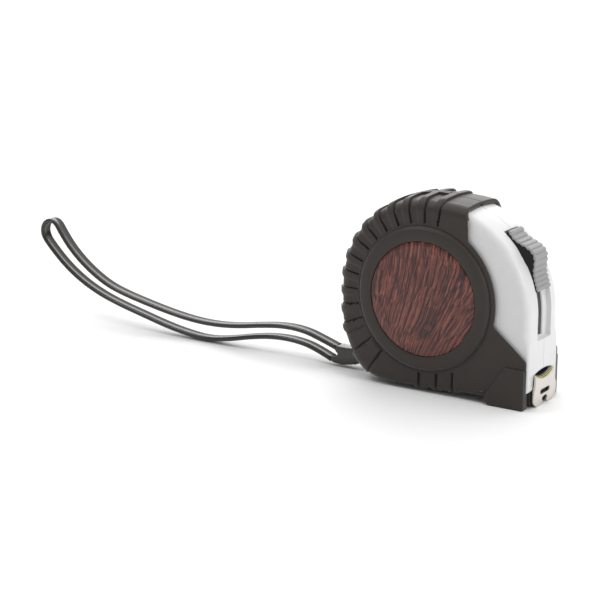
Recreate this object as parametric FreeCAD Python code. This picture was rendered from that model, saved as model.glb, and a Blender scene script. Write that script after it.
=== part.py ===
import FreeCAD, Part
import math
import os

V = FreeCAD.Vector
ACROSS = V(0, 1, 0)

# Pocket tape measure with a rubber jacket, thumb lock and moulded wrist strap.
# Frame: millimetres, +Z up, +X towards the hook, +Y to the belt clip side.
# Origin: on the resting plane, under the spool axis, in the middle of the case.
# Outlines are drawn in the XZ plane, with x and z measured from the spool axis
# where a name says so, and from the resting plane elsewhere.

# ---------------------------------------------------------------- case
case_radius = 38.3          # rounded back and top of the jacket
axis_height = case_radius - 1.3   # spool axis above the resting plane
case_half = 14.0            # jacket side face to the middle plane
belly_rear = 0.6            # underside of the case above the resting plane, behind
belly_front = 2.2           # and just behind the foot: the case sits nose up
side_rubber = 1.6           # jacket thickness on the side faces
rim_rubber = 3.0            # jacket thickness round the rim
edge_round = 5.0            # rounding between rim and side face
shell_wall = 2.0            # plastic wall round the rim
shell_side = 2.4            # plastic wall on the sides

# jacket front, from the spool axis
collar_x = 17.0             # front end of the jacket on top
collar_side_x = 18.2        # upright front edge above the scoop
collar_drop = 1.2           # how far the top has sunk at that end
collar_thick = 2.2
scoop_radius = 31.2         # jacket edge that runs round the badge ring
scoop_low_angle = -10.8     # where the scoop turns into the straight cheek
cheek_height = 19.2         # top of the upright front edge above the resting plane
foot_back = 28.0
foot_proud = 1.0            # foot stands out from the side face
foot_top = 15.5
# rear lower corner: each bend's distance from the back wall, height and rounding
corner = [(0.2, 21.5, 9.0), (6.0, 8.6, 8.0), (11.7, 2.5, 8.0), (18.3, belly_rear, 12.0)]

# ---------------------------------------------------------------- badge ring
badge_radius = 22.5
ring_flat_radius = 27.2
ring_foot_radius = 28.6
ring_proud = 1.3
badge_clearance = 0.05
badge_thick = 2.6
badge_crown = 0.5

# ---------------------------------------------------------------- grip grooves
groove_step = 11.2          # degrees between grooves round the back
groove_first = 79.8
groove_count = 12
groove_width = 1.1
groove_depth = 1.0
rib_height = 1.0            # ribs across the rim, each just behind its groove
rib_width = 3.0
rib_foot_radius = 34.5      # where a rib starts on the rounding of the side face
rib_front_x = 12.0          # the ribs lie behind this, from the spool axis
rib_low_height = 12.0       # and above this
belly_groove_x = [-5.2, 3.0, 9.7, 16.3]
belly_groove_top = 9.6
# ribs under the case: middle x, length and height of the underside
rest_ribs = [(-1.2, 6.6, 0.0), (6.4, 5.6, 0.6), (13.0, 5.6, 0.9)]
rest_rib_half = 9.0

# ---------------------------------------------------------------- nose
nose_radius = case_radius + 2.5
nose_centre_x = 3.4
nose_centre_height = axis_height - 3.5
foot_front = nose_centre_x + nose_radius - 0.9   # front face of the foot
nose_bottom = 6.0
nose_wall = 3.5
nose_round = 4.0
channel_half = 5.6
channel_depth = 1.8
channel_top_angle = 51.5
channel_bottom = 28.0
lock_slot_half = 1.6

# ---------------------------------------------------------------- blade
blade_chord_half = 7.9
blade_sag = 1.9
blade_gauge = 0.25
blade_edge_height = 12.2
blade_back = 11.0
mouth_gap = 0.45
mouth_crown = 1.1
coil_outer = 26.3
coil_half = 8.1

# ---------------------------------------------------------------- spool
post_radius = 4.0
post_socket = 1.0
post_slot = 0.9
bore_clearance = 0.08
spool_radius = 22.0
spool_wall = 0.9
spool_web = 1.0
spool_gap = 0.4
spring_gauge = 0.6
spring_half = 7.4
spring_turns = 7

# ---------------------------------------------------------------- hook
hook_gauge = 0.8
hook_gap = 0.3
hook_top_half = 7.9
hook_low_half = 9.8
hook_bottom = 0.3
hook_float = 1.0
hook_tab = 9.5
bumper_height = 1.5
tab_gauge = 0.6
rivet_radius = 0.9
rivet_head = 1.7
rivet_cap = 0.35
rivet_seat = 0.1            # flat head stands on the hollow side of the blade

# ---------------------------------------------------------------- lock
lock_half = 5.3
lock_top_angle = 49.5
lock_low_angle = 16.5
lock_travel = 20.0
lock_lift = 0.3
pad_gauge = 1.3
# outside of the thumb pad: degrees and radius about the nose centre
pad_profile = [(49.5, 42.5), (45.0, 42.0), (41.0, 42.8), (38.5, 43.9), (35.0, 45.0),
               (32.5, 45.3), (30.0, 44.8), (28.0, 43.9), (25.0, 42.6), (21.5, 41.9),
               (16.5, 41.9)]
arm_half = 4.5
arm_gauge = 1.8
arm_gap = 0.6
brake_clearance = 0.35
stem_angle = 24.0
stem_span = 7.0
stem_clearance = 0.3

# ---------------------------------------------------------------- screws
# from the spool axis
screw_places = [(25.5, 20.5), (-22.6, 22.6), (-14.5, -29.0), (31.3, -12.6)]
screw_radius = 1.2
screw_head_radius = 2.3
screw_head = 1.5
screw_tip = -7.0
boss_radius = 2.4
screw_clearance = 0.05

# ---------------------------------------------------------------- belt clip
clip_width = 19.0
clip_gauge = 1.0
clip_gap = 5.4
clip_top = 21.0
clip_bottom = -25.0
clip_seat_bottom = -7.5
clip_lip = 4.0
clip_relief = 0.3           # hollow in the disc that the bend turns in
clip_screw_radius = 1.45
clip_screw_head_radius = 3.2
clip_screw_head = 1.4
clip_screw_length = 11.0

# ---------------------------------------------------------------- strap
strap_width = 5.5
strap_gauge = 1.9
strap_pin_x = 13.5 - case_radius
strap_pin_height = 9.6
strap_pin_radius = 1.25
strap_pin_half = 8.0
strap_eye_radius = 3.1
strap_eye_clearance = 0.1
strap_slot_clearance = 0.9
lug_half = 8.4
# centre line of the loop: out along the upper leg, round the tip and back
strap_route = [
    (-46.0, 7.5), (-53.5, 10.0), (-62.0, 12.4), (-72.5, 12.8), (-84.0, 11.2),
    (-95.0, 9.2), (-106.5, 8.1), (-118.5, 8.4), (-131.0, 10.0), (-143.5, 12.3),
    (-154.6, 14.6), (-164.0, 17.2), (-172.2, 21.3), (-179.6, 26.3), (-185.8, 31.8),
    (-190.4, 37.4), (-194.5, 43.4), (-200.3, 41.8), (-201.7, 35.9), (-195.8, 29.6),
    (-188.0, 22.8), (-178.5, 16.9), (-168.0, 12.5), (-157.0, 9.4), (-146.0, 6.9),
    (-134.5, 4.2), (-122.5, 2.1), (-111.0, 1.2), (-99.5, 2.9), (-88.0, 5.7),
    (-77.0, 7.5), (-66.5, 7.6), (-57.0, 6.0), (-48.5, 2.4)]
neck_top = [(-38.0, 8.6), (-33.0, 9.6)]
neck_bottom = [(-31.5, 3.9), (-37.0, 1.9), (-43.0, 1.1)]


# ================================================================ drawing aids
def at(x, z, y=0.0):
    return V(x, y, z)


def polar(angle, radius, cx=0.0, cz=axis_height):
    turn = math.radians(angle)
    return at(cx + radius * math.cos(turn), cz + radius * math.sin(turn))


def on_nose(angle, radius):
    return polar(angle, radius, nose_centre_x, nose_centre_height)


def line(start, end):
    return Part.LineSegment(start, end).toShape()


def arc(start, middle, end):
    return Part.Arc(start, middle, end).toShape()


def chain(points):
    """Straight edges through the points."""
    return [line(a, b) for a, b in zip(points, points[1:])]


def face(edges):
    return Part.Face(Part.Wire(edges))


def slab(edges, low, high):
    """The closed outline, in the XZ plane, drawn out from y = low to y = high."""
    plate = face(edges)
    plate.translate(V(0, low, 0))
    return plate.extrude(V(0, high - low, 0))


def rod(x, z, radius, low, high):
    return Part.makeCylinder(radius, high - low, V(x, low, z), ACROSS)


def ring(x, z, inner, outer, low, high):
    return rod(x, z, outer, low, high).cut(rod(x, z, inner, low, high))


def block(x0, x1, y0, y1, z0, z1):
    return Part.makeBox(x1 - x0, y1 - y0, z1 - z0, V(x0, y0, z0))


def rounded(points, radii):
    """Edges of an open path whose inner corners are tangent arcs."""
    edges = []
    here = points[0]
    for before, tip, after, radius in zip(points, points[1:], points[2:], radii):
        back = (before - tip).normalize()
        ahead = (after - tip).normalize()
        half = back.getAngle(ahead) / 2
        reach = radius / math.tan(half)
        start = tip + back * reach
        end = tip + ahead * reach
        inward = (back + ahead).normalize()
        middle = tip + inward * (radius / math.sin(half) - radius)
        edges.append(line(here, start))
        edges.append(arc(start, middle, end))
        here = end
    edges.append(line(here, points[-1]))
    return edges


def drawn_in(points, inset):
    """The open path moved to its left by inset, end points square to its end runs."""
    runs = []
    for start, end in zip(points, points[1:]):
        along = (end - start).normalize()
        inward = V(-along.z, 0, along.x) * inset
        runs.append((start + inward, along))
    moved = [runs[0][0]]
    for (here, along), (there, ahead) in zip(runs, runs[1:]):
        gap = there - here
        reach = (gap.x * ahead.z - gap.z * ahead.x) / (along.x * ahead.z - along.z * ahead.x)
        moved.append(here + along * reach)
    moved.append(points[-1] + runs[-1][0] - points[-2])
    return moved


def case_corner(inset):
    """Rear lower corner, from the back wall round to the front end of the belly."""
    path = [at(-case_radius, axis_height)] + [at(x - case_radius, z) for x, z, _ in corner]
    path.append(at(foot_back, belly_front))
    moved = drawn_in(path, inset)
    moved[0] = at(-case_radius + inset, axis_height)
    return rounded(moved, [max(each[2] - inset, 1.0) for each in corner])


def biggest(shape):
    return max(shape.Solids, key=lambda each: each.Volume)


def both(half):
    """The far side copy of a piece drawn on the near side."""
    return half.mirror(V(0, 0, 0), ACROSS)


# ================================================================ outlines
def jacket_outline():
    top = axis_height + case_radius
    collar_top = at(collar_x - 0.6, top - collar_drop)
    collar_low = at(collar_x, top - collar_drop - collar_thick)
    crown_radius = (collar_top.x ** 2 + collar_drop ** 2) / (2 * collar_drop)
    half_x = collar_top.x / 2
    crown_middle = at(half_x, top - crown_radius + math.sqrt(crown_radius ** 2 - half_x ** 2))
    scoop_high_angle = math.degrees(math.acos(collar_side_x / scoop_radius))
    scoop_start = polar(scoop_high_angle, scoop_radius)
    scoop_end = polar(scoop_low_angle, scoop_radius)
    scoop_middle = polar((scoop_high_angle + scoop_low_angle) / 2, scoop_radius)
    edges = [arc(at(0, top), crown_middle, collar_top)]
    edges += chain([collar_top, collar_low, at(collar_side_x, collar_low.z - 1.5), scoop_start])
    edges.append(arc(scoop_start, scoop_middle, scoop_end))
    edges += chain([scoop_end, at(foot_front + 0.3, cheek_height), at(foot_front, 0),
                    at(foot_back + 0.6, 0), at(foot_back, belly_front)])
    edges += case_corner(0)
    edges.append(arc(at(-case_radius, axis_height), polar(135, case_radius), at(0, top)))
    return edges


def shell_outline(inset, front_inset):
    """Plastic shell, drawn in by inset at the rim and front_inset at the nose."""
    rim = rim_rubber + inset
    radius = case_radius - rim
    top = axis_height + radius
    nose = nose_radius - front_inset
    start_angle = math.degrees(math.asin((top - nose_centre_height) / nose))
    front = nose_centre_x + nose
    floor = nose_bottom + inset
    back = case_corner(rim)
    belly = back[-1].Vertexes[-1].Point
    edges = [line(at(0, top), on_nose(start_angle, nose))]
    edges.append(arc(on_nose(start_angle, nose), on_nose(start_angle / 2, nose), on_nose(0, nose)))
    edges += chain([on_nose(0, nose), at(front, floor), at(belly.x, floor), belly])
    edges += back
    edges.append(arc(at(-radius, axis_height), polar(135, radius), at(0, top)))
    return edges


def wrapped(edges):
    return Part.__sortEdges__(edges)


def round_side(body, y, radius, keep):
    """Round the edges in the side face at y whose middle passes the keep test."""
    chosen = []
    for edge in body.Edges:
        box = edge.BoundBox
        if abs(box.YMin - y) < 1e-4 and abs(box.YMax - y) < 1e-4:
            middle = edge.valueAt((edge.FirstParameter + edge.LastParameter) / 2)
            if keep(middle):
                chosen.append(edge)
    return body.makeFillet(radius, chosen)


# ================================================================ jacket
def behind_scoop(point):
    reach = math.hypot(point.x, point.z - axis_height)
    return reach > scoop_radius + 1.5 and point.x < collar_x - 1


def jacket_block(inset, rounding):
    """Near half of the jacket as a solid lump, drawn in by inset."""
    outline = wrapped(jacket_outline())
    if inset:
        outline = Part.Wire(outline).makeOffset2D(-inset).Edges
    lump = slab(outline, -case_half + inset, 0)
    return round_side(lump, -case_half + inset, rounding,
                      lambda p: behind_scoop(p) and p.x < foot_back - 1)


def groove_cutters():
    spokes = []
    reach = case_radius + 4
    for number in range(groove_count):
        angle = groove_first + number * groove_step
        spoke = block(ring_foot_radius + 0.4, reach, -case_half - 2, 0,
                      -groove_width / 2, groove_width / 2)
        spoke.rotate(V(0, 0, 0), V(0, -1, 0), angle)
        spoke.translate(V(0, 0, axis_height))
        spokes.append(spoke)
    for x in belly_groove_x:
        spokes.append(block(x - groove_width / 2, x + groove_width / 2, -case_half - 2, 0,
                            -1, belly_groove_top))
    return spokes


def rib_lump():
    """Near half of the case as it would be with rib height added to its top and back."""
    radius = case_radius + rib_height
    top = axis_height + radius
    edges = [line(at(rib_front_x, top), at(0, top)),
             arc(at(0, top), polar(135, radius), at(-radius, axis_height))]
    edges += chain([at(-radius, axis_height), at(-radius, rib_low_height),
                    at(rib_front_x, rib_low_height), at(rib_front_x, top)])
    lump = slab(edges, -case_half, 0)
    return round_side(lump, -case_half, edge_round + rib_height,
                      lambda p: p.x < rib_front_x - 0.1 and p.z > rib_low_height + 0.1)


def grip_ribs():
    """Raised ribs over the rim, one beside each radial groove."""
    raised = rib_lump()
    ribs = []
    for number in range(groove_count):
        angle = groove_first + number * groove_step
        rib = block(rib_foot_radius, case_radius + 6, -case_half, 0,
                    groove_width / 2, groove_width / 2 + rib_width)
        rib.rotate(V(0, 0, 0), V(0, -1, 0), angle)
        rib.translate(V(0, 0, axis_height))
        ribs.append(rib.common(raised))
    return ribs


def strap_slot():
    """Room for the strap neck, from its pin out through the rear lower corner."""
    half = strap_eye_radius + strap_slot_clearance
    slot_half = strap_width / 2 + 0.4
    outside = at(neck_bottom[0][0], (neck_bottom[0][1] + neck_top[1][1]) / 2)
    pin = at(strap_pin_x, strap_pin_height)
    along = (outside - pin).normalize()
    square = V(-along.z, 0, along.x) * (half + 0.4)
    end = pin + along * 18
    way = slab(chain([pin + square, end + square, end - square, pin - square, pin + square]),
               -slot_half, slot_half)
    return way.fuse(rod(strap_pin_x, strap_pin_height, half, -slot_half, slot_half))


def bumper_room():
    return block(foot_back + 6.6, foot_front + 2, -hook_low_half - 1.1, hook_low_half + 1.1,
                 -1, nose_bottom + 0.01)


def jacket_left():
    body = jacket_block(0, edge_round)
    for rib in grip_ribs():
        body = body.fuse(rib)
    smooth = jacket_block(groove_depth, edge_round - groove_depth)
    for spoke in groove_cutters():
        body = body.cut(spoke.cut(smooth))
    foot = slab(chain([at(foot_back, 0), at(foot_front, 0), at(foot_front, foot_top),
                       at(foot_front - 8.3, foot_top), at(foot_back - 1.5, belly_front),
                       at(foot_back - 1.0, belly_front), at(foot_back, 0)]),
                -case_half - foot_proud, -case_half + 1)
    body = body.fuse(foot)
    for x, length, under in rest_ribs:
        body = body.fuse(block(x - length / 2, x + length / 2, -rest_rib_half, 0,
                               under, belly_front + 1))
    rim = Part.makeCone(ring_foot_radius, ring_flat_radius, ring_proud,
                        V(0, -case_half, axis_height), V(0, -1, 0))
    body = body.fuse(rim)
    body = body.cut(shell_lump())
    opening = rod(0, axis_height, badge_radius + badge_clearance, -case_half - 4, 0)
    body = body.cut(opening).cut(strap_slot()).cut(bumper_room())
    return biggest(body.removeSplitter())


def jacket_right(left):
    body = both(left)
    for x, z in screw_places:
        body = body.cut(rod(x, axis_height + z, screw_head_radius + 0.2, 0, case_half + 3))
    return biggest(body)


# ================================================================ shells
def shell_lump():
    side = case_half - side_rubber
    lump = slab(wrapped(shell_outline(0, 0)), -side, 0)
    return round_side(lump, -side, nose_round, lambda p: True)


def lock_channel():
    """Recess that the thumb lock slides in, open to the front of the nose."""
    floor = nose_radius - channel_depth
    low = math.degrees(math.asin((channel_bottom - nose_centre_height) / floor))
    middle = (channel_top_angle + low) / 2
    reach = nose_radius + 8
    edges = [arc(on_nose(channel_top_angle, floor), on_nose(middle, floor), on_nose(low, floor)),
             line(on_nose(low, floor), at(nose_centre_x + reach, channel_bottom)),
             line(at(nose_centre_x + reach, channel_bottom), on_nose(channel_top_angle, reach + 20)),
             line(on_nose(channel_top_angle, reach + 20), on_nose(channel_top_angle, floor))]
    recess = slab(edges, -channel_half, channel_half)
    slot_top = stem_angle + stem_span / 2 + 2
    slot_low = stem_angle - stem_span / 2 - lock_travel - 2
    inner = nose_radius - nose_wall - 1
    edges = [arc(on_nose(slot_top, inner), on_nose((slot_top + slot_low) / 2, inner),
                 on_nose(slot_low, inner)),
             line(on_nose(slot_low, inner), on_nose(slot_low, reach)),
             arc(on_nose(slot_low, reach), on_nose((slot_top + slot_low) / 2, reach),
                 on_nose(slot_top, reach)),
             line(on_nose(slot_top, reach), on_nose(slot_top, inner))]
    return recess.fuse(slab(edges, -lock_slot_half, lock_slot_half))


def blade_curve_centre():
    radius = (blade_chord_half ** 2 + blade_sag ** 2) / (2 * blade_sag)
    return radius, blade_edge_height - blade_sag + radius


def mouth_cut():
    """Opening that the blade leaves by: flat sides, crowned top."""
    front = nose_centre_x + nose_radius
    half = blade_chord_half + mouth_gap
    low = nose_bottom + shell_wall
    high = blade_edge_height + mouth_gap
    start = front - nose_wall - 2
    corners = [V(start, -half, low), V(start, half, low), V(start, half, high)]
    crown = Part.Arc(V(start, half, high), V(start, 0, high + mouth_crown),
                     V(start, -half, high)).toShape()
    edges = chain(corners) + [crown, line(V(start, -half, high), corners[0])]
    return face(edges).extrude(V(nose_wall + 4, 0, 0))


def shell_left():
    inside = case_half - side_rubber - shell_side
    body = shell_lump()
    body = body.cut(slab(wrapped(shell_outline(shell_wall, nose_wall)), -inside, 0))
    for x, z in screw_places:
        body = body.fuse(rod(x, axis_height + z, boss_radius, -inside - 1, -0.05)
                         .common(shell_lump()))
    body = body.fuse(strap_lug(inside))
    body = body.cut(strap_slot()).cut(lock_channel()).cut(mouth_cut())
    body = body.cut(rod(strap_pin_x, strap_pin_height, strap_pin_radius + screw_clearance,
                        -strap_pin_half - 0.05, 0))
    body = body.cut(rod(0, axis_height, post_radius + screw_clearance,
                        -inside - post_socket - 0.05, 0))
    for x, z in screw_places:
        body = body.cut(rod(x, axis_height + z, screw_radius + screw_clearance, screw_tip - 0.3, 0))
    return biggest(body.removeSplitter())


def strap_lug(inside):
    slot_half = strap_width / 2 + 0.4
    lug = slab(chain([at(-34, 3), at(-20, 3), at(-20, 11.0), at(-24.5, 14.2),
                      at(-34, 14.2), at(-34, 3)]), -lug_half, -slot_half)
    return lug.common(shell_lump())


def shell_right(left):
    inside = case_half - side_rubber - shell_side
    body = both(left)
    side = case_half - side_rubber
    for x, z in screw_places:
        body = body.fuse(rod(x, axis_height + z, boss_radius, 0.05, inside + 1))
        body = body.cut(rod(x, axis_height + z, screw_radius + screw_clearance, 0, side + 1))
        body = body.cut(rod(x, axis_height + z, screw_head_radius + 0.1, side - screw_head, side + 1))
    hole = rod(0, axis_height, clip_screw_radius + screw_clearance, 0, side + 1)
    return biggest(body.cut(hole))


# ================================================================ badge side
def badge():
    """Domed disc let into the ring on the near side."""
    back = -(case_half - side_rubber)
    front = back - badge_thick
    disc = rod(0, axis_height, badge_radius, front, back)
    dome_radius = (badge_radius ** 2 + badge_crown ** 2) / (2 * badge_crown)
    ball = Part.makeSphere(dome_radius, V(0, front - badge_crown + dome_radius, axis_height))
    cap = rod(0, axis_height, badge_radius, front - badge_crown, front).common(ball)
    return disc.fuse(cap).removeSplitter()


def back_disc():
    """Plain disc in the far ring, under the belt clip."""
    back = case_half - side_rubber
    disc = rod(0, axis_height, badge_radius, back, back + badge_thick)
    half = clip_width / 2 + clip_relief
    bend = axis_height + clip_top - clip_gauge - clip_gap / 2
    disc = disc.cut(block(-half, half, back + badge_thick - clip_relief, back + badge_thick + 1,
                          bend - clip_relief, bend + badge_radius))
    return disc.cut(rod(0, axis_height, clip_screw_radius + screw_clearance, back - 1,
                        back + badge_thick + 1))


# ================================================================ spool
def axle_post():
    inside = case_half - side_rubber - shell_side
    half = inside + post_socket
    post = rod(0, axis_height, post_radius, -half, half)
    slot = block(-post_slot / 2, post_slot / 2, -spring_half - 0.3, spring_half + 0.3,
                 axis_height, axis_height + post_radius + 1)
    tapped = rod(0, axis_height, clip_screw_radius + screw_clearance, half - 9, half + 1)
    return post.cut(slot).cut(tapped)


def spool():
    inside = case_half - side_rubber - shell_side
    low = -inside + spool_gap
    high = inside - spool_gap - spool_web
    bore = post_radius + bore_clearance
    cup = rod(0, axis_height, spool_radius, low, high)
    cup = cup.cut(rod(0, axis_height, spool_radius - spool_wall, low + spool_web, high + 1))
    hub = rod(0, axis_height, post_radius + 1.6, low, -spring_half - 0.3)
    return cup.fuse(hub).cut(rod(0, axis_height, bore, low - 1, high + 1))


def spool_cover():
    inside = case_half - side_rubber - shell_side
    high = inside - spool_gap
    disc = rod(0, axis_height, spool_radius, high - spool_web, high)
    return disc.cut(rod(0, axis_height, post_radius + bore_clearance, high - 3, high + 1))


def blade_coil():
    return ring(0, axis_height, spool_radius, coil_outer, -coil_half, coil_half)


def power_spring():
    """Flat spiral of half circles that widens from the post to the spool wall."""
    inner = post_radius + 1.0
    outer = spool_radius - spool_wall - 0.05
    halves = spring_turns * 2
    pitch = (outer - spring_gauge / 2 - inner - spring_gauge / 2) / halves
    near_side = []
    far_side = []
    for gauge, store in ((-spring_gauge / 2, near_side), (spring_gauge / 2, far_side)):
        centre = 0.0
        radius = inner + spring_gauge / 2
        for number in range(halves):
            facing = 1 if number % 2 == 0 else -1
            reach = radius + gauge
            start = at(centre + facing * reach, axis_height)
            middle = at(centre, axis_height + facing * reach)
            end = at(centre - facing * reach, axis_height)
            store.append((start, middle, end))
            centre += facing * pitch
            radius += pitch
    edges = [arc(*each) for each in near_side]
    edges.append(line(near_side[-1][2], far_side[-1][2]))
    edges += [arc(*reversed(each)) for each in reversed(far_side)]
    edges.append(line(far_side[0][0], near_side[0][0]))
    return slab(wrapped(edges), -spring_half, spring_half)


# ================================================================ blade and hook
def blade_strip(x0, x1, inner, outer, half):
    """Length of a curved strip between two radii about the blade's own curve."""
    radius, height = blade_curve_centre()
    lift = math.asin(half / radius)
    def point(reach, angle):
        return V(x0, reach * math.sin(angle), height - reach * math.cos(angle))
    edges = [Part.Arc(point(outer, -lift), point(outer, 0), point(outer, lift)).toShape(),
             line(point(outer, lift), point(inner, lift)),
             Part.Arc(point(inner, lift), point(inner, 0), point(inner, -lift)).toShape(),
             line(point(inner, -lift), point(outer, -lift))]
    return face(edges).extrude(V(x1 - x0, 0, 0))


def hook_face():
    return nose_centre_x + nose_radius + hook_gap


def rivet_places():
    end = hook_face()
    return [(end - 7.2, 0.0), (end - 3.6, -11.5), (end - 3.6, 11.5)]


def rivet_tool(x, angle, radius, low, high):
    """Upright cylinder at x, leaned by angle about the blade's curve."""
    curve, height = blade_curve_centre()
    tool = Part.makeCylinder(radius, high - low, V(x, 0, height - curve + low), V(0, 0, 1))
    tool.rotate(V(0, 0, height), V(1, 0, 0), angle)
    return tool


def blade_tongue():
    radius, _ = blade_curve_centre()
    strip = blade_strip(blade_back, hook_face(), radius - blade_gauge, radius, blade_chord_half)
    for x, angle in rivet_places():
        strip = strip.cut(rivet_tool(x, angle, rivet_radius + 0.02, -2, 2))
    return strip


def hook_rivets():
    pins = []
    shank_low = -tab_gauge - 0.05
    for x, angle in rivet_places():
        pin = rivet_tool(x, angle, rivet_radius, shank_low, blade_gauge + rivet_seat)
        seat = blade_gauge + rivet_seat
        top = rivet_tool(x, angle, rivet_head, seat, seat + rivet_cap)
        under = rivet_tool(x, angle, rivet_head, shank_low - rivet_cap, shank_low)
        pins.append(pin.fuse(top).fuse(under).removeSplitter())
    return Part.makeCompound(pins)


def end_hook():
    """Steel hook: curved tab under the blade, turned down into a notched plate."""
    radius, height = blade_curve_centre()
    front = hook_face()
    inner = radius + 0.02
    outer = inner + tab_gauge
    tab = blade_strip(front - hook_tab, front + 0.2, inner, outer, blade_chord_half - 0.4)
    for x, angle in rivet_places():
        for shift in (0.0, -hook_float / 2, -hook_float):
            tab = tab.cut(rivet_tool(x + shift, angle, rivet_radius + 0.15, -3, 3))
    edge = blade_edge_height - 0.1
    lift = math.asin(hook_top_half / radius)
    curve = [V(front, radius * math.sin(turn), height - radius * math.cos(turn))
             for turn in (-lift, 0, lift)]
    low = hook_bottom
    outline = [V(front, hook_top_half, edge - 1.2), V(front, hook_low_half, edge - 4.4),
               V(front, hook_low_half, low + 3.4), V(front, hook_low_half - 2.8, low + 0.3),
               V(front, hook_low_half - 4.0, low), V(front, 2.0, low), V(front, 1.3, low + 1.7),
               V(front, 2.1, low + 3.0), V(front, 1.2, low + 4.0)]
    mirrored = [V(front, -p.y, p.z) for p in reversed(outline)]
    edges = [Part.Arc(curve[0], curve[1], curve[2]).toShape()]
    edges += chain([curve[2]] + outline + mirrored + [curve[0]])
    plate = face(edges).extrude(V(hook_gauge, 0, 0))
    slot = block(front - 1, front + 2, -3.6, 3.6, low + 4.9, low + 7.0)
    return tab.fuse(plate.cut(slot)).removeSplitter()


def mouth_guide():
    """Plastic cradle that the blade slides on, just inside the mouth."""
    radius, height = blade_curve_centre()
    front = nose_centre_x + nose_radius - 0.4
    floor = nose_bottom + shell_wall
    body = block(front - hook_tab - 3.0, front, -blade_chord_half - 0.2, blade_chord_half + 0.2,
                 floor, blade_edge_height - 0.7)
    groove = radius + 0.3
    trough = Part.makeCylinder(groove, 60, V(0, 0, height), V(1, 0, 0))
    deep = Part.makeCylinder(groove + tab_gauge + rivet_cap + 0.35, 60,
                             V(front - hook_tab - 1.2, 0, height), V(1, 0, 0))
    return biggest(body.cut(trough).cut(deep))


def hook_bumper():
    """Rubber block under the nose that the hook closes against."""
    front = nose_centre_x + nose_radius - 0.3
    return block(foot_back + 6.7, front, -hook_low_half - 1.0, hook_low_half + 1.0,
                 bumper_height, nose_bottom)


# ================================================================ thumb lock
def pad_curve(drop):
    spline = Part.BSplineCurve()
    spline.interpolate([on_nose(angle, radius - drop) for angle, radius in pad_profile])
    return spline.toShape()


def nose_band(low_angle, high_angle, inner, outer, half):
    middle = (low_angle + high_angle) / 2
    edges = [arc(on_nose(low_angle, inner), on_nose(middle, inner), on_nose(high_angle, inner)),
             line(on_nose(high_angle, inner), on_nose(high_angle, outer)),
             arc(on_nose(high_angle, outer), on_nose(middle, outer), on_nose(low_angle, outer)),
             line(on_nose(low_angle, outer), on_nose(low_angle, inner))]
    return slab(edges, -half, half)


def lock_body():
    floor = nose_radius - channel_depth + lock_lift
    top = pad_curve(pad_gauge)
    middle = (lock_top_angle + lock_low_angle) / 2
    edges = [top, line(on_nose(lock_low_angle, pad_profile[-1][1] - pad_gauge),
                       on_nose(lock_low_angle, floor)),
             arc(on_nose(lock_low_angle, floor), on_nose(middle, floor),
                 on_nose(lock_top_angle, floor)),
             line(on_nose(lock_top_angle, floor),
                  on_nose(lock_top_angle, pad_profile[0][1] - pad_gauge))]
    body = slab(wrapped(edges), -lock_half, lock_half)
    arm_outer = nose_radius - nose_wall - arm_gap
    stem = nose_band(stem_angle - stem_span / 2, stem_angle + stem_span / 2, arm_outer,
                     floor + 0.5, lock_slot_half - stem_clearance)
    return body.fuse(stem).removeSplitter()


def lock_pad():
    top = pad_curve(0)
    under = pad_curve(pad_gauge)
    edges = [top, under,
             line(on_nose(lock_low_angle, pad_profile[-1][1]),
                  on_nose(lock_low_angle, pad_profile[-1][1] - pad_gauge)),
             line(on_nose(lock_top_angle, pad_profile[0][1] - pad_gauge),
                  on_nose(lock_top_angle, pad_profile[0][1]))]
    return slab(wrapped(edges), -lock_half, lock_half)


def brake_arm():
    """Inner arm that comes down onto the blade when the lock is pushed down."""
    outer = nose_radius - nose_wall - arm_gap
    inner = outer - arm_gauge
    radius, height = blade_curve_centre()
    blade_top = height - math.sqrt((radius - blade_gauge) ** 2 - arm_half ** 2)
    drop = nose_centre_height - blade_top - brake_clearance
    down_angle = -math.degrees(math.asin(drop / outer))
    low_angle = down_angle + lock_travel
    return nose_band(low_angle, stem_angle + stem_span / 2, inner, outer, arm_half)


# ================================================================ fasteners
def case_screws():
    side = case_half - side_rubber
    screws = []
    for x, z in screw_places:
        high = side - screw_head
        shank = rod(x, axis_height + z, screw_radius, screw_tip, high)
        head = rod(x, axis_height + z, screw_head_radius, high, side)
        cross = block(x - 1.3, x + 1.3, side - 0.8, side + 1, axis_height + z - 0.3,
                      axis_height + z + 0.3)
        other = block(x - 0.3, x + 0.3, side - 0.8, side + 1, axis_height + z - 1.3,
                      axis_height + z + 1.3)
        screws.append(shank.fuse(head).cut(cross).cut(other))
    return Part.makeCompound([biggest(each) for each in screws])


def clip_seat_face():
    return case_half - side_rubber + badge_thick


def clip_path():
    """Side view of the clip strip: seat, bend and spring leaf, as (y, z) lines."""
    seat = clip_seat_face()
    return seat, seat + clip_gauge, seat + clip_gauge + clip_gap


def clip_foot():
    """Seat of the belt clip, held to the case by its screw."""
    seat, seat_out, _ = clip_path()
    half = clip_width / 2
    bend = axis_height + clip_top - clip_gauge - clip_gap / 2
    plate = block(-half, half, seat, seat_out, axis_height + clip_seat_bottom, bend)
    return plate.cut(rod(0, axis_height, clip_screw_radius + screw_clearance, seat - 1, seat_out + 1))


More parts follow.
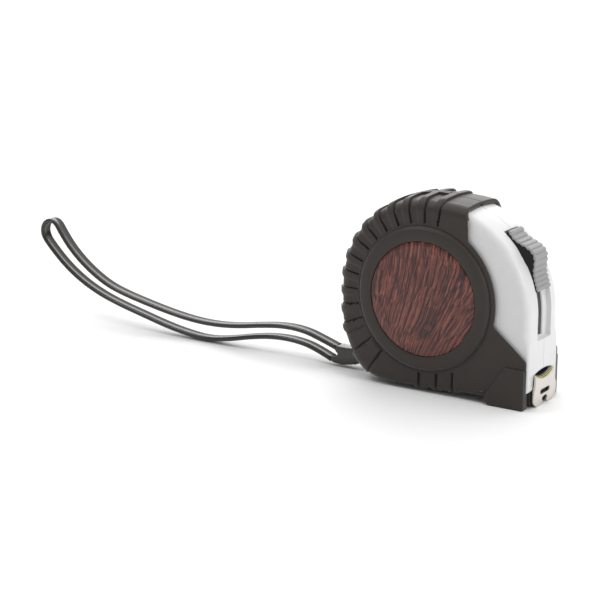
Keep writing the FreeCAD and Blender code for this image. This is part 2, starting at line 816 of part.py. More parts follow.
def belt_clip():
    """Bend and leaf of the belt clip, which spring away from the case."""
    seat, seat_out, leaf_in = clip_path()
    half = clip_width / 2
    leaf_out = leaf_in + clip_gauge
    bend_z = axis_height + clip_top - clip_gauge - clip_gap / 2
    bend_y = (seat_out + leaf_in) / 2
    low = axis_height + clip_bottom
    def spot(y, z):
        return V(-half, y, z)
    outer = clip_gap / 2 + clip_gauge
    edges = [Part.Arc(spot(seat, bend_z), spot(bend_y, bend_z + outer),
                      spot(leaf_out, bend_z)).toShape()]
    edges += chain([spot(leaf_out, bend_z), spot(leaf_out - 1.6, low + clip_lip),
                    spot(leaf_out + 0.6, low), spot(leaf_in + 0.6, low),
                    spot(leaf_in - 1.6, low + clip_lip), spot(leaf_in, bend_z)])
    edges.append(Part.Arc(spot(leaf_in, bend_z), spot(bend_y, bend_z + clip_gap / 2),
                          spot(seat_out, bend_z)).toShape())
    edges.append(line(spot(seat_out, bend_z), spot(seat, bend_z)))
    return face(edges).extrude(V(clip_width, 0, 0))


def clip_screw():
    _, seat_out, _ = clip_path()
    shank = rod(0, axis_height, clip_screw_radius, seat_out - clip_screw_length, seat_out)
    head = rod(0, axis_height, clip_screw_head_radius, seat_out, seat_out + clip_screw_head)
    cross = block(-1.7, 1.7, seat_out + 0.5, seat_out + 3, axis_height - 0.35, axis_height + 0.35)
    other = block(-0.35, 0.35, seat_out + 0.5, seat_out + 3, axis_height - 1.7, axis_height + 1.7)
    return shank.fuse(head).cut(cross).cut(other)


# ================================================================ wrist strap
def strap_runs():
    """Straight runs and tangent arcs of the loop: (kind, points, centre, radius, side)."""
    points = [at(x, z) for x, z in strap_route]
    runs = []
    radii = []
    here = points[0]
    for before, tip, after in zip(points, points[1:], points[2:]):
        back = (before - tip).normalize()
        ahead = (after - tip).normalize()
        half_turn = (math.pi - back.getAngle(ahead)) / 2
        shorter = min((before - tip).Length, (after - tip).Length)
        radius = 0.45 * shorter / math.tan(half_turn)
        reach = 0.45 * shorter
        start = tip + back * reach
        end = tip + ahead * reach
        inward = (back + ahead).normalize()
        centre = tip + inward * (radius / math.cos(half_turn))
        runs.append(("run", here, start, None, None))
        runs.append(("bend", start, end, centre, radius))
        radii.append(radius)
        here = end
    runs.append(("run", here, points[-1], None, None))
    return runs, radii


def beside(start, end, shift):
    along = (end - start).normalize()
    square = V(-along.z, 0, along.x) * shift
    return start + square, end + square


def strap_side(shift):
    """Edges of one face of the strap, at shift from the centre line."""
    edges = []
    for kind, start, end, centre, radius in strap_runs()[0]:
        if kind == "run":
            edges.append(line(*beside(start, end, shift)))
            continue
        left = (start - centre).cross(end - start)
        turn = 1 if left.y > 0 else -1
        reach = radius + turn * shift
        a = centre + (start - centre).normalize() * reach
        b = centre + (end - centre).normalize() * reach
        middle = centre + ((start - centre) + (end - centre)).normalize() * reach
        edges.append(arc(a, middle, b))
    return edges


def strap_loop():
    """Closed band of the wrist strap, swept from the neck round the tip and back."""
    left = strap_side(strap_gauge / 2)
    right = strap_side(-strap_gauge / 2)
    first = [left[0].Vertexes[0].Point, right[0].Vertexes[0].Point]
    last = [left[-1].Vertexes[-1].Point, right[-1].Vertexes[-1].Point]
    edges = left + right + [line(first[0], first[1]), line(last[0], last[1])]
    return slab(wrapped(edges), -strap_width / 2, strap_width / 2)


def strap_end(start, following):
    """Top and bottom corner of the band's end face."""
    a = beside(start, following, strap_gauge / 2)[0]
    b = beside(start, following, -strap_gauge / 2)[0]
    return (a, b) if a.z > b.z else (b, a)


def strap_neck():
    """Tab that joins both legs and turns on the pin in the rear corner."""
    points = [at(x, z) for x, z in strap_route]
    upper_top, upper_low = strap_end(points[0], points[1])
    lower_top, lower_low = strap_end(points[-1], points[-2])
    crotch = (upper_low + lower_top) * 0.5 + V(0.9, 0, 0)
    pin = at(strap_pin_x, strap_pin_height)
    eye = strap_eye_radius
    outline = [upper_low, upper_top] + [at(x, z) for x, z in neck_top]
    outline += [pin + V(-0.4 * eye, 0, 0.9 * eye), pin + V(0.5 * eye, 0, -0.75 * eye)]
    outline += [at(x, z) for x, z in neck_bottom]
    outline += [lower_low, lower_top, crotch, upper_low]
    half = strap_width / 2
    tab = slab(chain(outline), -half, half)
    tab = tab.fuse(rod(strap_pin_x, strap_pin_height, eye, -half, half))
    hole = rod(strap_pin_x, strap_pin_height, strap_pin_radius + strap_eye_clearance,
               -half - 1, half + 1)
    return biggest(tab.cut(hole).removeSplitter())


def strap_pin():
    return rod(strap_pin_x, strap_pin_height, strap_pin_radius, -strap_pin_half, strap_pin_half)


# ================================================================ build
def build():
    left_jacket = jacket_left()
    left_shell = shell_left()
    return {
        "jacket_left": left_jacket,
        "jacket_right": jacket_right(left_jacket),
        "shell_left": left_shell,
        "shell_right": shell_right(left_shell),
        "badge": badge(),
        "back_disc": back_disc(),
        "axle_post": axle_post(),
        "spool": spool(),
        "spool_cover": spool_cover(),
        "blade_coil": blade_coil(),
        "power_spring": power_spring(),
        "blade_tongue": blade_tongue(),
        "end_hook": end_hook(),
        "hook_rivets": hook_rivets(),
        "mouth_guide": mouth_guide(),
        "hook_bumper": hook_bumper(),
        "lock_body": lock_body(),
        "lock_pad": lock_pad(),
        "brake_arm": brake_arm(),
        "case_screws": case_screws(),
        "clip_foot": clip_foot(),
        "belt_clip": belt_clip(),
        "clip_screw": clip_screw(),
        "strap_pin": strap_pin(),
        "strap_neck": strap_neck(),
        "strap_loop": strap_loop(),
    }


def main():
    os.makedirs("parts", exist_ok=True)
    for name, shape in build().items():
        solids = len(shape.Solids)
        print(f"{name}: {solids} solid(s), valid {shape.isValid()}, volume {shape.Volume:.1f}")
        shape.exportStep(f"parts/{name}.step")
    runs, radii = strap_runs()
    length = 0.0
    for kind, start, end, centre, radius in runs:
        if kind == "run":
            length += (end - start).Length
        else:
            length += radius * (start - centre).getAngle(end - centre)
    print(f"strap length {length:.1f}, section x length {length * strap_width * strap_gauge:.1f}")
    print("strap radii", " ".join(f"{radius:.1f}" for radius in radii))


main()
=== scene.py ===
import math

import bmesh
import bpy
from bpy.props import FloatProperty, FloatVectorProperty, PointerProperty
from bpy.types import Operator, Panel, PropertyGroup
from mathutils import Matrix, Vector


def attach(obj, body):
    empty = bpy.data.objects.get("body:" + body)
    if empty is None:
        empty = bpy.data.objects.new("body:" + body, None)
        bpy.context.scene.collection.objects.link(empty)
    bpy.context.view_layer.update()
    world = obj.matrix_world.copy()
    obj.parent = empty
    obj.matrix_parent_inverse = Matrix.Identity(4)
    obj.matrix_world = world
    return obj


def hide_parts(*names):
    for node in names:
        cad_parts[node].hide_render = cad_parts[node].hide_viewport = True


bl_info = {
    "name": "Pocket Tape Measure",
    "version": (1, 0, 0),
    "blender": (4, 5, 0),
    "location": "3D View > Sidebar > Tape Measure",
    "description": "Builds the visual pieces of a pocket tape measure round its packed frame",
    "category": "Add Mesh",
}

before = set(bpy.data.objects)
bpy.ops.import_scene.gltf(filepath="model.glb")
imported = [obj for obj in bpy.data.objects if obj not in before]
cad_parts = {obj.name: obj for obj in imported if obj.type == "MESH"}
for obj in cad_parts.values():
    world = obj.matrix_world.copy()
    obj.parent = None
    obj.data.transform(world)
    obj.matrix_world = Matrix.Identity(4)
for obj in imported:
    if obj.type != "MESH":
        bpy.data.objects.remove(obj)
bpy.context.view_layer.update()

MM = 0.001
# sizes are in millimetres, and angles in degrees, unless a name or comment says otherwise
AXIS_Z = 37.0  # height of the spool axis
BACK_RADIUS = 38.3  # rounded back of the case
NOSE = (3.4, 33.5)  # centre of the nose arc: x and height
NOSE_RADIUS = 40.8


# ---------------- mesh aids
def finish_mesh(name, bm, *materials, smooth=True):
    """Turns a millimetre bmesh into an object in metres, at the origin."""
    for point in bm.verts:
        point.co *= MM
    bm.normal_update()
    mesh = bpy.data.meshes.new(name)
    bm.to_mesh(mesh)
    bm.free()
    obj = bpy.data.objects.new(name, mesh)
    bpy.context.scene.collection.objects.link(obj)
    for material in materials:
        mesh.materials.append(material)
    if smooth:
        mesh.shade_smooth()
    else:
        mesh.shade_flat()
    return obj


def grid(columns, rows, place):
    """Grid of quads whose corner (i, j) is moved to place(i, j)."""
    bm = bmesh.new()
    bmesh.ops.create_grid(bm, x_segments=columns - 1, y_segments=rows - 1, size=1)
    for point in bm.verts:
        i = round((point.co.x + 1) / 2 * (columns - 1))
        j = round((point.co.y + 1) / 2 * (rows - 1))
        point.co = place(i, j)
    return bm


def even_normals(bm):
    bmesh.ops.recalc_face_normals(bm, faces=bm.faces)


def face_out(bm, inside):
    """Merge doubles, then turn all faces away from the point inside."""
    bmesh.ops.remove_doubles(bm, verts=bm.verts, dist=0.01)
    bmesh.ops.dissolve_degenerate(bm, dist=0.002, edges=bm.edges)
    even_normals(bm)
    outward = sum(face.normal.dot(face.calc_center_median() - inside) * face.calc_area()
                  for face in bm.faces)
    if outward < 0:
        bmesh.ops.reverse_faces(bm, faces=bm.faces)


def join_mesh(bm, other):
    """Add a copy of another bmesh and free it."""
    mesh = bpy.data.meshes.new("part")
    other.to_mesh(mesh)
    other.free()
    bm.from_mesh(mesh)
    bpy.data.meshes.remove(mesh)


def to_far_side(bm):
    bmesh.ops.scale(bm, vec=(1, -1, 1), verts=bm.verts)
    bmesh.ops.reverse_faces(bm, faces=bm.faces)


def walled(obj, thickness, side=-1):
    """Gives a sheet a wall on its inner side, or with side=1 on its outer one."""
    wall = obj.modifiers.new("wall", "SOLIDIFY")
    wall.thickness = thickness
    wall.offset = side
    wall.use_even_offset = False
    return obj


def plate(points, low, high, bevel=0.0, segments=2):
    """Outline of (x, z) points pulled from y = low to y = high, with its edges bevelled."""
    bm = bmesh.new()
    face = bm.faces.new([bm.verts.new((x, low, z)) for x, z in points])
    made = bmesh.ops.extrude_face_region(bm, geom=[face])
    for item in made["geom"]:
        if isinstance(item, bmesh.types.BMVert):
            item.co.y = high
    even_normals(bm)
    if bevel:
        round_edges(bm, [e for e in bm.edges if e.calc_face_angle(0) > 0.6], bevel, segments)
    return bm


def round_edges(bm, edges, width, segments):
    bmesh.ops.bevel(bm, geom=edges, offset=width, offset_type="OFFSET", segments=segments,
                    profile=0.5, affect="EDGES", clamp_overlap=True, material=-1)


def turned(profile, steps=128):
    """Surface of revolution about the spool axis from (radius, y) points."""
    bm = bmesh.new()
    points = [bm.verts.new((radius, y, 0)) for radius, y in profile]
    edges = [bm.edges.new(pair) for pair in zip(points, points[1:])]
    bmesh.ops.spin(bm, geom=points + edges, cent=(0, 0, 0), axis=(0, 1, 0), angle=math.tau,
                   steps=steps, use_merge=True)
    bmesh.ops.remove_doubles(bm, verts=bm.verts, dist=1e-4)
    even_normals(bm)
    bmesh.ops.translate(bm, verts=bm.verts, vec=(0, 0, AXIS_Z))
    return bm


def soft_step(low, high, value):
    t = min(max((value - low) / (high - low), 0.0), 1.0)
    return t * t * (3 - 2 * t)


def smooth_by_angle(obj, degrees=35):
    """Flat shading breaks only where faces meet at more than this angle."""
    mesh = obj.data
    mesh.shade_smooth()
    mesh.set_sharp_from_angle(angle=math.radians(degrees))


# ---------------- materials
TONE_SCALE = 260  # patches of tone, in noise cells per metre
FINE = 0.0001  # height of the fine grain, in metres
EVEN = (1, 1, 1)  # a grain that isn't stretched


def material(name, colour, roughness, metallic=0.0, **sockets):
    made = bpy.data.materials.new(name)
    made.use_nodes = True
    shader = made.node_tree.nodes["Principled BSDF"]
    shader.inputs["Base Color"].default_value = (*colour, 1.0)
    shader.inputs["Roughness"].default_value = roughness
    shader.inputs["Metallic"].default_value = metallic
    for key, value in sockets.items():
        shader.inputs[key.replace("_", " ")].default_value = value
    return made


def noise(made, scale, detail, stretch):
    tree = made.node_tree
    place = tree.nodes.new("ShaderNodeTexCoord")
    shape = tree.nodes.new("ShaderNodeMapping")
    shape.inputs["Scale"].default_value = stretch
    texture = tree.nodes.new("ShaderNodeTexNoise")
    texture.inputs["Scale"].default_value = scale
    texture.inputs["Detail"].default_value = detail
    tree.links.new(place.outputs["Object"], shape.inputs["Vector"])
    tree.links.new(shape.outputs["Vector"], texture.inputs["Vector"])
    return texture


def grain(made, scale, strength, distance=FINE, stretch=EVEN):
    """Fine surface relief."""
    texture = noise(made, scale, 4.0, stretch)
    bump = made.node_tree.nodes.new("ShaderNodeBump")
    bump.inputs["Strength"].default_value = strength
    bump.inputs["Distance"].default_value = distance
    made.node_tree.links.new(texture.outputs["Fac"], bump.inputs["Height"])
    made.node_tree.links.new(bump.outputs["Normal"],
                             made.node_tree.nodes["Principled BSDF"].inputs["Normal"])
    return made


def ramp(made, source, stops, socket):
    """Colour ramp from a texture's factor to one socket of the shader."""
    node = made.node_tree.nodes.new("ShaderNodeValToRGB")
    elements = node.color_ramp.elements
    while len(elements) < len(stops):
        elements.new(0.5)
    for element, (position, colour) in zip(elements, stops):
        element.position = position
        element.color = (*colour, 1.0)
    made.node_tree.links.new(source, node.inputs["Fac"])
    made.node_tree.links.new(node.outputs["Color"],
                             made.node_tree.nodes["Principled BSDF"].inputs[socket])
    return made


def maths(tree, operation, *values):
    """Maths node fed by numbers or by other nodes' sockets."""
    node = tree.nodes.new("ShaderNodeMath")
    node.operation = operation
    for socket, value in zip(node.inputs, values):
        if isinstance(value, (int, float)):
            socket.default_value = value
        else:
            tree.links.new(value, socket)
    return node.outputs[0]


def object_axes(tree):
    """Object coordinates, and the same split into X, Y and Z."""
    place = tree.nodes.new("ShaderNodeTexCoord")
    split = tree.nodes.new("ShaderNodeSeparateXYZ")
    tree.links.new(place.outputs["Object"], split.inputs[0])
    return place.outputs["Object"], split.outputs


def tones(made, colour, stretch=EVEN, spread=0.14):
    """Slight lighter and darker patches in the colour."""
    dark = tuple(part * (1 - spread) for part in colour)
    light = tuple(part * (1 + spread) for part in colour)
    return ramp(made, noise(made, TONE_SCALE, 4.0, stretch).outputs["Fac"],
                [(0.35, dark), (0.65, light)], "Base Color")


def grey(level):
    return (level, level, level)


# ---------------- settings
class TapeLooks(PropertyGroup):
    rubber_colour: FloatVectorProperty(
        name="Rubber", description="Colour of the rubber jacket", subtype="COLOR",
        default=(0.034, 0.028, 0.0245), min=0, max=1)
    nose_colour: FloatVectorProperty(
        name="Nose", description="Colour of the plastic case", subtype="COLOR",
        default=(0.69, 0.69, 0.695), min=0, max=1)
    pad_colour: FloatVectorProperty(
        name="Thumb pad", description="Colour of the ridged pad on the lock", subtype="COLOR",
        default=(0.30, 0.30, 0.30), min=0, max=1)
    strap_width: FloatProperty(
        name="Strap width", description="Width of the wrist strap", default=0.0055,
        min=0.003, max=0.02, unit="LENGTH")
    strap_thickness: FloatProperty(
        name="Strap thickness", description="Thickness of the wrist strap at its beads",
        default=0.0019, min=0.001, max=0.005, unit="LENGTH")


def looks():
    return bpy.context.scene.tape_looks


# ---------------- wrist strap
STRAP_ROUTE = [
    (-46.0, 7.5), (-53.5, 10.0), (-62.0, 12.4), (-72.5, 12.8), (-84.0, 11.2),
    (-95.0, 9.2), (-106.5, 8.1), (-118.5, 8.4), (-131.0, 10.0), (-143.5, 12.3),
    (-154.6, 14.6), (-164.0, 17.2), (-172.2, 21.3), (-179.6, 26.3), (-185.8, 31.8),
    (-190.4, 37.4), (-194.5, 43.4), (-200.3, 41.8), (-201.7, 35.9), (-195.8, 29.6),
    (-188.0, 22.8), (-178.5, 16.9), (-168.0, 12.5), (-157.0, 9.4), (-146.0, 6.9),
    (-134.5, 4.2), (-122.5, 2.1), (-111.0, 1.2), (-99.5, 2.9), (-88.0, 5.7),
    (-77.0, 7.5), (-66.5, 7.6), (-57.0, 6.0), (-48.5, 2.4)]


BEAD_TURN, BEAD_STEPS = 122, 12
WEB_SHARE = 0.55  # thickness of the web as a share of the beads


def strap_line():
    """Points of the smooth line through the strap's route, in metres."""
    curve = bpy.data.curves.new("strap_line", "CURVE")
    curve.dimensions = "3D"
    curve.resolution_u = 10
    spline = curve.splines.new("NURBS")
    spline.points.add(len(STRAP_ROUTE) - 1)
    for point, (x, z) in zip(spline.points, STRAP_ROUTE):
        point.co = (x * MM, 0, z * MM, 1)
    spline.order_u = 3
    spline.use_endpoint_u = True
    holder = bpy.data.objects.new("strap_line", curve)
    mesh = bpy.data.meshes.new_from_object(holder)
    points = [point.co.copy() for point in mesh.vertices]
    bpy.data.meshes.remove(mesh)
    bpy.data.objects.remove(holder)
    bpy.data.curves.remove(curve)
    return points


def strap_section(width, thickness):
    """Two round beads joined by a thin web, as (across, out) points."""
    bead = thickness / 2
    web = bead * WEB_SHARE
    middle = width / 2 - bead
    section = []
    for side in (1, -1):
        for step in range(BEAD_STEPS + 1):
            turn = math.radians(BEAD_TURN * (2 * step / BEAD_STEPS - 1))
            section.append((side * (middle + bead * math.cos(turn)),
                            side * bead * math.sin(turn)))
        section.append((side * (middle - bead * 1.5), side * web))
        section.append((-side * (middle - bead * 1.5), side * web))
    return section


class TAPE_OT_strap(Operator):
    """Build the wrist strap loop"""
    bl_idname = "tape.strap"
    bl_label = "Strap"

    def execute(self, context):
        line = strap_line()
        section = strap_section(looks().strap_width, looks().strap_thickness)
        rubber = material("strap_vinyl", (0.026, 0.0215, 0.019), 0.24,
                          Specular_IOR_Level=0.55)
        grain(rubber, 700, 0.05)

        bm = bmesh.new()
        rings = []
        for number, here in enumerate(line):
            before = line[max(number - 1, 0)]
            after = line[min(number + 1, len(line) - 1)]
            along = (after - before).normalized()
            out = Vector((-along.z, 0, along.x))
            rings.append([bm.verts.new(here + Vector((0, across, 0)) + out * rise)
                          for across, rise in section])
        for here, there in zip(rings, rings[1:]):
            for number in range(len(section)):
                after = (number + 1) % len(section)
                bm.faces.new((here[number], there[number], there[after], here[after]))
        bm.faces.new(rings[0])
        bm.faces.new(list(reversed(rings[-1])))
        even_normals(bm)
        for point in bm.verts:
            point.co /= MM
        band = finish_mesh("strap_band", bm, rubber)
        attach(band, "strap")
        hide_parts("strap_loop")
        return {"FINISHED"}


# ---------------- rubber jacket
RING_IN, RING_FLAT, RING_FOOT = 22.45, 27.0, 28.8
RING_Y, SIDE_Y, SHELL_Y = 15.3, 14.0, 12.4
SCOOP = 30.4
EDGE_ROUND = 5.0
GROOVE_FIRST, GROOVE_STEP, GROOVE_COUNT = 79.8, 11.2, 12
RIB_HEIGHT = 1.0
SCALE_CREST, SCALE_END = 2.3, 4.0  # along the rim, where a scale's fall starts and ends
BAND_ANGLE, BAND_HALF = 118, (1.75, 1.95)  # raised middle band of the first scales
# on the side face: depth of the valleys, and depth and soft edge of the slit beside each
VALLEY_DEPTH, SLIT_DEPTH, SLIT_EDGE = 0.45, 1.3, (0.42, 0.75)
LUG_RISE, LUG_SIDE, LUG_SLIT = 0.5, 0.45, 0.8  # strap lug: rim, side and slits
BELLY_TOP, BELLY_SLIT = -27.2, 1.0  # from the spool axis down, and depth
LOBES = [(-1.0, 3.3, 0.95), (6.4, 3.1, 0.95), (13.0, 3.0, 0.9)]
BELLY_GROOVES = [-1.3, 6.1, 13.0]
LUG_GROOVES = [219.5, 232.5]
SCREWS = [(25.5, 20.5), (-22.6, 22.6), (-14.5, -29.0), (31.3, -12.6)]  # from the spool axis
# hole radius, how far off points are drawn on to it, and the radius inside which they go
SCREW_HOLE, SCREW_RIM, SCREW_CLEAR = 2.5, 0.25, 1.7
# room for the strap's neck: half width, front end in X, floor and roof in Z
STRAP_SLOT = (3.2, -27.2, 3.0, 9.3)
COLLAR_TOP, COLLAR_LOW = (16.8, 37.1), (18.0, 32.2)
COLLAR_ANGLE = math.degrees(math.atan2(COLLAR_TOP[1], COLLAR_TOP[0]))
# angle on the ring where the collar's column starts, and angle past which columns are radial
RING_START, RADIAL_ANGLE = 57.5, 88
# ring section: radius and distance from the middle plane
RING_ROWS = [(RING_IN, SHELL_Y - 0.4), (RING_IN, 14.9), (RING_IN + 0.15, 15.2),
             (RING_IN + 0.5, RING_Y), (24.5, RING_Y), (26.7, RING_Y), (RING_FLAT, 15.2),
             (27.9, 14.25), (28.2, 13.75), (RING_FOOT, SIDE_Y)]
SIDE_ROWS, ROUND_ROWS = 18, 10
RIM_CROWN = 0.006  # drop of the rim per square of the distance from the middle
# rows across the rim, as shares of its half width: closer at the middle band and the seam
RIM_PLACES = [0.85, 0.7, 0.55, 0.4, 0.3, 0.225, 0.205, 0.19, 0.17, 0.12, 0.06, 0.03, 0.012, 0.0]


def on_circle(angle, radius):
    turn = math.radians(angle)
    return Vector((radius * math.cos(turn), radius * math.sin(turn)))


def wrapped_outline():
    """Where the rubber goes round the rim, from the collar over the back to the foot."""
    path = [Vector(COLLAR_TOP), Vector((12.0, 37.75)), Vector((6.0, 38.2))]
    path += [on_circle(angle, BACK_RADIUS) for angle in range(90, 181, 3)]
    path += [Vector((x, z - AXIS_Z)) for x, z in
             [(-BACK_RADIUS, 29.0), (-38.1, 24.0), (-37.4, 19.6), (-35.2, 14.1), (-33.0, 9.6),
              (-31.3, 7.3), (-29.0, 4.9), (-26.9, 3.1), (-24.2, 1.8), (-20.8, 0.95),
              (-16.0, 0.75), (-11.0, 0.85), (-4.0, 1.05), (4.0, 1.35), (12.0, 1.65),
              (20.0, 1.95), (27.0, 2.2)]]
    return path


def cut_outline():
    """Where the rubber ends on the plastic: foot, cheek and scoop, up to the collar."""
    path = [Vector((x, z - AXIS_Z)) for x, z in
            [(28.0, 1.9), (35.0, 1.4), (43.0, 0.9), (43.4, 8.0), (43.6, 18.3), (43.1, 19.2),
             (36.8, 24.5), (30.6, 29.6), (29.8, 30.7)]]
    path += [on_circle(angle, SCOOP) for angle in range(-11, 53, 3)]
    path.append(Vector((18.3, 24.6)))
    path.append(Vector(COLLAR_LOW))
    return path


def stations(path, spacing, marks=()):
    """Points along the path and their outward normals, closer together at each marked angle."""
    lengths = [0.0]
    for a, b in zip(path, path[1:]):
        lengths.append(lengths[-1] + (b - a).length)

    def at(length):
        k = 0
        while k < len(path) - 2 and lengths[k + 1] < length:
            k += 1
        return path[k].lerp(path[k + 1], (length - lengths[k]) / (lengths[k + 1] - lengths[k]))

    count = round(lengths[-1] / spacing)
    places = [lengths[-1] * number / count for number in range(count + 1)]
    close = []
    for mark in marks:
        ahead = [length for length in places if polar_angle(at(length)) > mark]
        low, high = ahead[0] - spacing, ahead[0]
        for _ in range(12):
            middle = (low + high) / 2
            low, high = (low, middle) if polar_angle(at(middle)) > mark else (middle, high)
        close += [low - 0.3, low - 0.04, low + 0.04, low + 0.3]
    kept = [length for length in places[1:-1]
            if all(abs(length - other) > 0.2 for other in close)]
    places = sorted([places[0], places[-1]] + kept + close)
    result = []
    for length in places:
        along = at(min(length + 1.2, lengths[-1])) - at(max(length - 1.2, 0.0))
        result.append((at(length), Vector((along.y, -along.x)).normalized()))
    return result


def polar_angle(point):
    return math.degrees(math.atan2(point.y, point.x)) % 360


def scale_form(point):
    """Height of the overlapping scales of the grip: 1 on a scale, 0 in the valley behind it."""
    turns = (polar_angle(point) - GROOVE_FIRST) / GROOVE_STEP
    if turns < -0.55 or turns > GROOVE_COUNT - 0.45:
        return -1.0
    behind = (turns % 1.0) * math.radians(GROOVE_STEP) * BACK_RADIUS
    form = 1 - soft_step(SCALE_CREST, SCALE_END, behind)
    if turns < 0 or turns > GROOVE_COUNT - 0.6:
        return form if 0 <= turns < GROOVE_COUNT else 0.0
    return form


def on_lug(point):
    return LUG_GROOVES[0] < polar_angle(point) < LUG_GROOVES[1]


def rim_lift(point, y):
    """How far scales, strap lug and lobes stand out of the rim."""
    form = max(scale_form(point), 0.0)
    lift = RIB_HEIGHT * form
    angle = polar_angle(point)
    if GROOVE_FIRST + 5 < angle < BAND_ANGLE:
        lift = max(lift, RIB_HEIGHT * (1 - soft_step(*BAND_HALF, abs(y))))
    if on_lug(point):
        lift = LUG_RISE
    if point.y < -30:
        for middle, half, height in LOBES:
            lift = max(lift, height * (1 - soft_step(0.72, 1.0, abs(point.x - middle) / half)))
    return lift


def rim_crown(y):
    return RIM_CROWN * y * y


def side_dip(point, reach):
    """Depth of the valleys and slits of the side face; below zero it stands proud."""
    form = scale_form(point)
    turns = (polar_angle(point) - GROOVE_FIRST) / GROOVE_STEP
    dip = 0.0
    if form >= 0 and -0.2 < turns < GROOVE_COUNT:
        before = (-turns) % 1.0 * math.radians(GROOVE_STEP) * point.length
        dip = VALLEY_DEPTH * (1 - form) if turns >= 0 else 0.0
        if turns < GROOVE_COUNT - 0.9:
            dip = max(dip, SLIT_DEPTH * (1 - soft_step(*SLIT_EDGE, before)))
    if on_lug(point):
        dip = -LUG_SIDE
    for groove in LUG_GROOVES:
        away = abs(polar_angle(point) - groove) * math.radians(1) * point.length
        if away < 0.6:
            dip = max(dip, LUG_SLIT * (1 - soft_step(0.15, 0.5, away)))
    if point.y < BELLY_TOP:
        for x in BELLY_GROOVES:
            dip = max(dip, BELLY_SLIT * (1 - soft_step(0.3, 0.6, abs(point.x - x))))
    return dip * soft_step(RING_FOOT + 0.15, RING_FOOT + 0.7, reach)


def wrapped_start(point):
    """Angle on the ring at which the column to this outline point starts."""
    angle = polar_angle(point)
    if angle < RADIAL_ANGLE:
        spread = RADIAL_ANGLE - RING_START
        return RING_START + spread * (angle - COLLAR_ANGLE) / (RADIAL_ANGLE - COLLAR_ANGLE)
    if point.y < -30:
        upright = 270 + math.degrees(math.asin(max(min(point.x, 16) / RING_FOOT, -0.97)))
        upright += max(point.x - 16, 0) * 0.34
        return angle + (upright - angle) * soft_step(-20, -8, point.x)
    return angle


def cut_start(point):
    if point.x < 18.4 and point.y > 25:
        return 54.4 + 3.1 * (point.y - 25.5) / (COLLAR_LOW[1] - 25.5)
    return polar_angle(point)


def ring_point(angle, row):
    radius, y = RING_ROWS[row]
    spot = on_circle(angle, radius)
    return Vector((spot.x, -y, AXIS_Z + spot.y))


def edge_radius(point):
    """Rounding between side and rim: wide at the back, less on the belly, tight at the foot."""
    if point.y > -30:
        return EDGE_ROUND
    return EDGE_ROUND - 2.6 * soft_step(-24, -10, point.x) - 1.6 * soft_step(16, 26, point.x)


def wrapped_sheet():
    """Ring, side and rim of the near half, up to the middle plane."""
    marks = [GROOVE_FIRST + number * GROOVE_STEP for number in range(GROOVE_COUNT)] + LUG_GROOVES
    columns = stations(wrapped_outline(), 0.5, marks)
    first_side, first_round = len(RING_ROWS), len(RING_ROWS) + SIDE_ROWS
    first_rim = first_round + ROUND_ROWS

    def place(i, j):
        point, normal = columns[i]
        if point.x > 10 and point.y > 30:
            lean = Vector(COLLAR_TOP) - Vector(COLLAR_LOW)
            normal = normal.lerp(lean / EDGE_ROUND, soft_step(10, COLLAR_TOP[0], point.x))
        rounding = edge_radius(point)
        edge = point - normal * rounding
        if j < first_side:
            return ring_point(wrapped_start(point), j)
        if j < first_round:
            start = on_circle(wrapped_start(point), RING_FOOT)
            spot = start.lerp(edge, (j - first_side + 1) / SIDE_ROWS)
            return Vector((spot.x, -SIDE_Y + side_dip(spot, spot.length), AXIS_Z + spot.y))
        if j < first_rim:
            part = (j - first_round + 1) / ROUND_ROWS
            turn = math.pi / 2 * part
            dip = side_dip(edge, 99.0) * (1 - part)
            lift = rim_lift(point, SIDE_Y) * soft_step(0.0, 1.0, part) - dip * math.sin(turn)
            lift -= rim_crown(-SIDE_Y + rounding) * part
            spot = point - normal * (rounding * (1 - math.sin(turn)) - lift)
            y = -SIDE_Y + rounding * (1 - math.cos(turn)) + dip * math.cos(turn)
            return Vector((spot.x, y, AXIS_Z + spot.y))
        y = (-SIDE_Y + rounding) * RIM_PLACES[j - first_rim]
        seam = 0.3 * (1 - soft_step(0.0, 0.25, abs(y)))
        spot = point + normal * (rim_lift(point, y) - seam - rim_crown(y))
        return Vector((spot.x, y, AXIS_Z + spot.y))

    return grid(len(columns), first_rim + len(RIM_PLACES), place)


def cut_sheet():
    """Ring and side of the near half in front, up to the edge on the plastic."""
    end, normal = stations(wrapped_outline(), 0.5)[-1]
    columns = stations([end - normal * edge_radius(end)] + cut_outline(), 0.8)
    starts = [cut_start(point) for point, _ in columns]
    starts[0] = wrapped_start(end)

    def place(i, j):
        if j < len(RING_ROWS):
            return ring_point(starts[i], j)
        part = (j - len(RING_ROWS) + 1) / SIDE_ROWS
        spot = on_circle(starts[i], RING_FOOT).lerp(columns[i][0], part)
        inside = min(i, len(columns) - 1 - i, 4) / 4
        drop = 0.5 * inside * soft_step(0.9, 1.0, part) ** 2
        return Vector((spot.x, -SIDE_Y + drop, AXIS_Z + spot.y))

    return grid(len(columns), len(RING_ROWS) + SIDE_ROWS, place)


def jacket_half():
    """Outer skin of the near half."""
    bm = wrapped_sheet()
    slot = [face for face in bm.faces if in_strap_slot(face.calc_center_median())]
    bmesh.ops.delete(bm, geom=slot, context="FACES")
    join_mesh(bm, cut_sheet())
    face_out(bm, Vector((0, 0, AXIS_Z)))
    return bm


def in_strap_slot(place):
    half, front, floor, roof = STRAP_SLOT
    return abs(place.y) < half and place.x < front and floor < place.z < roof


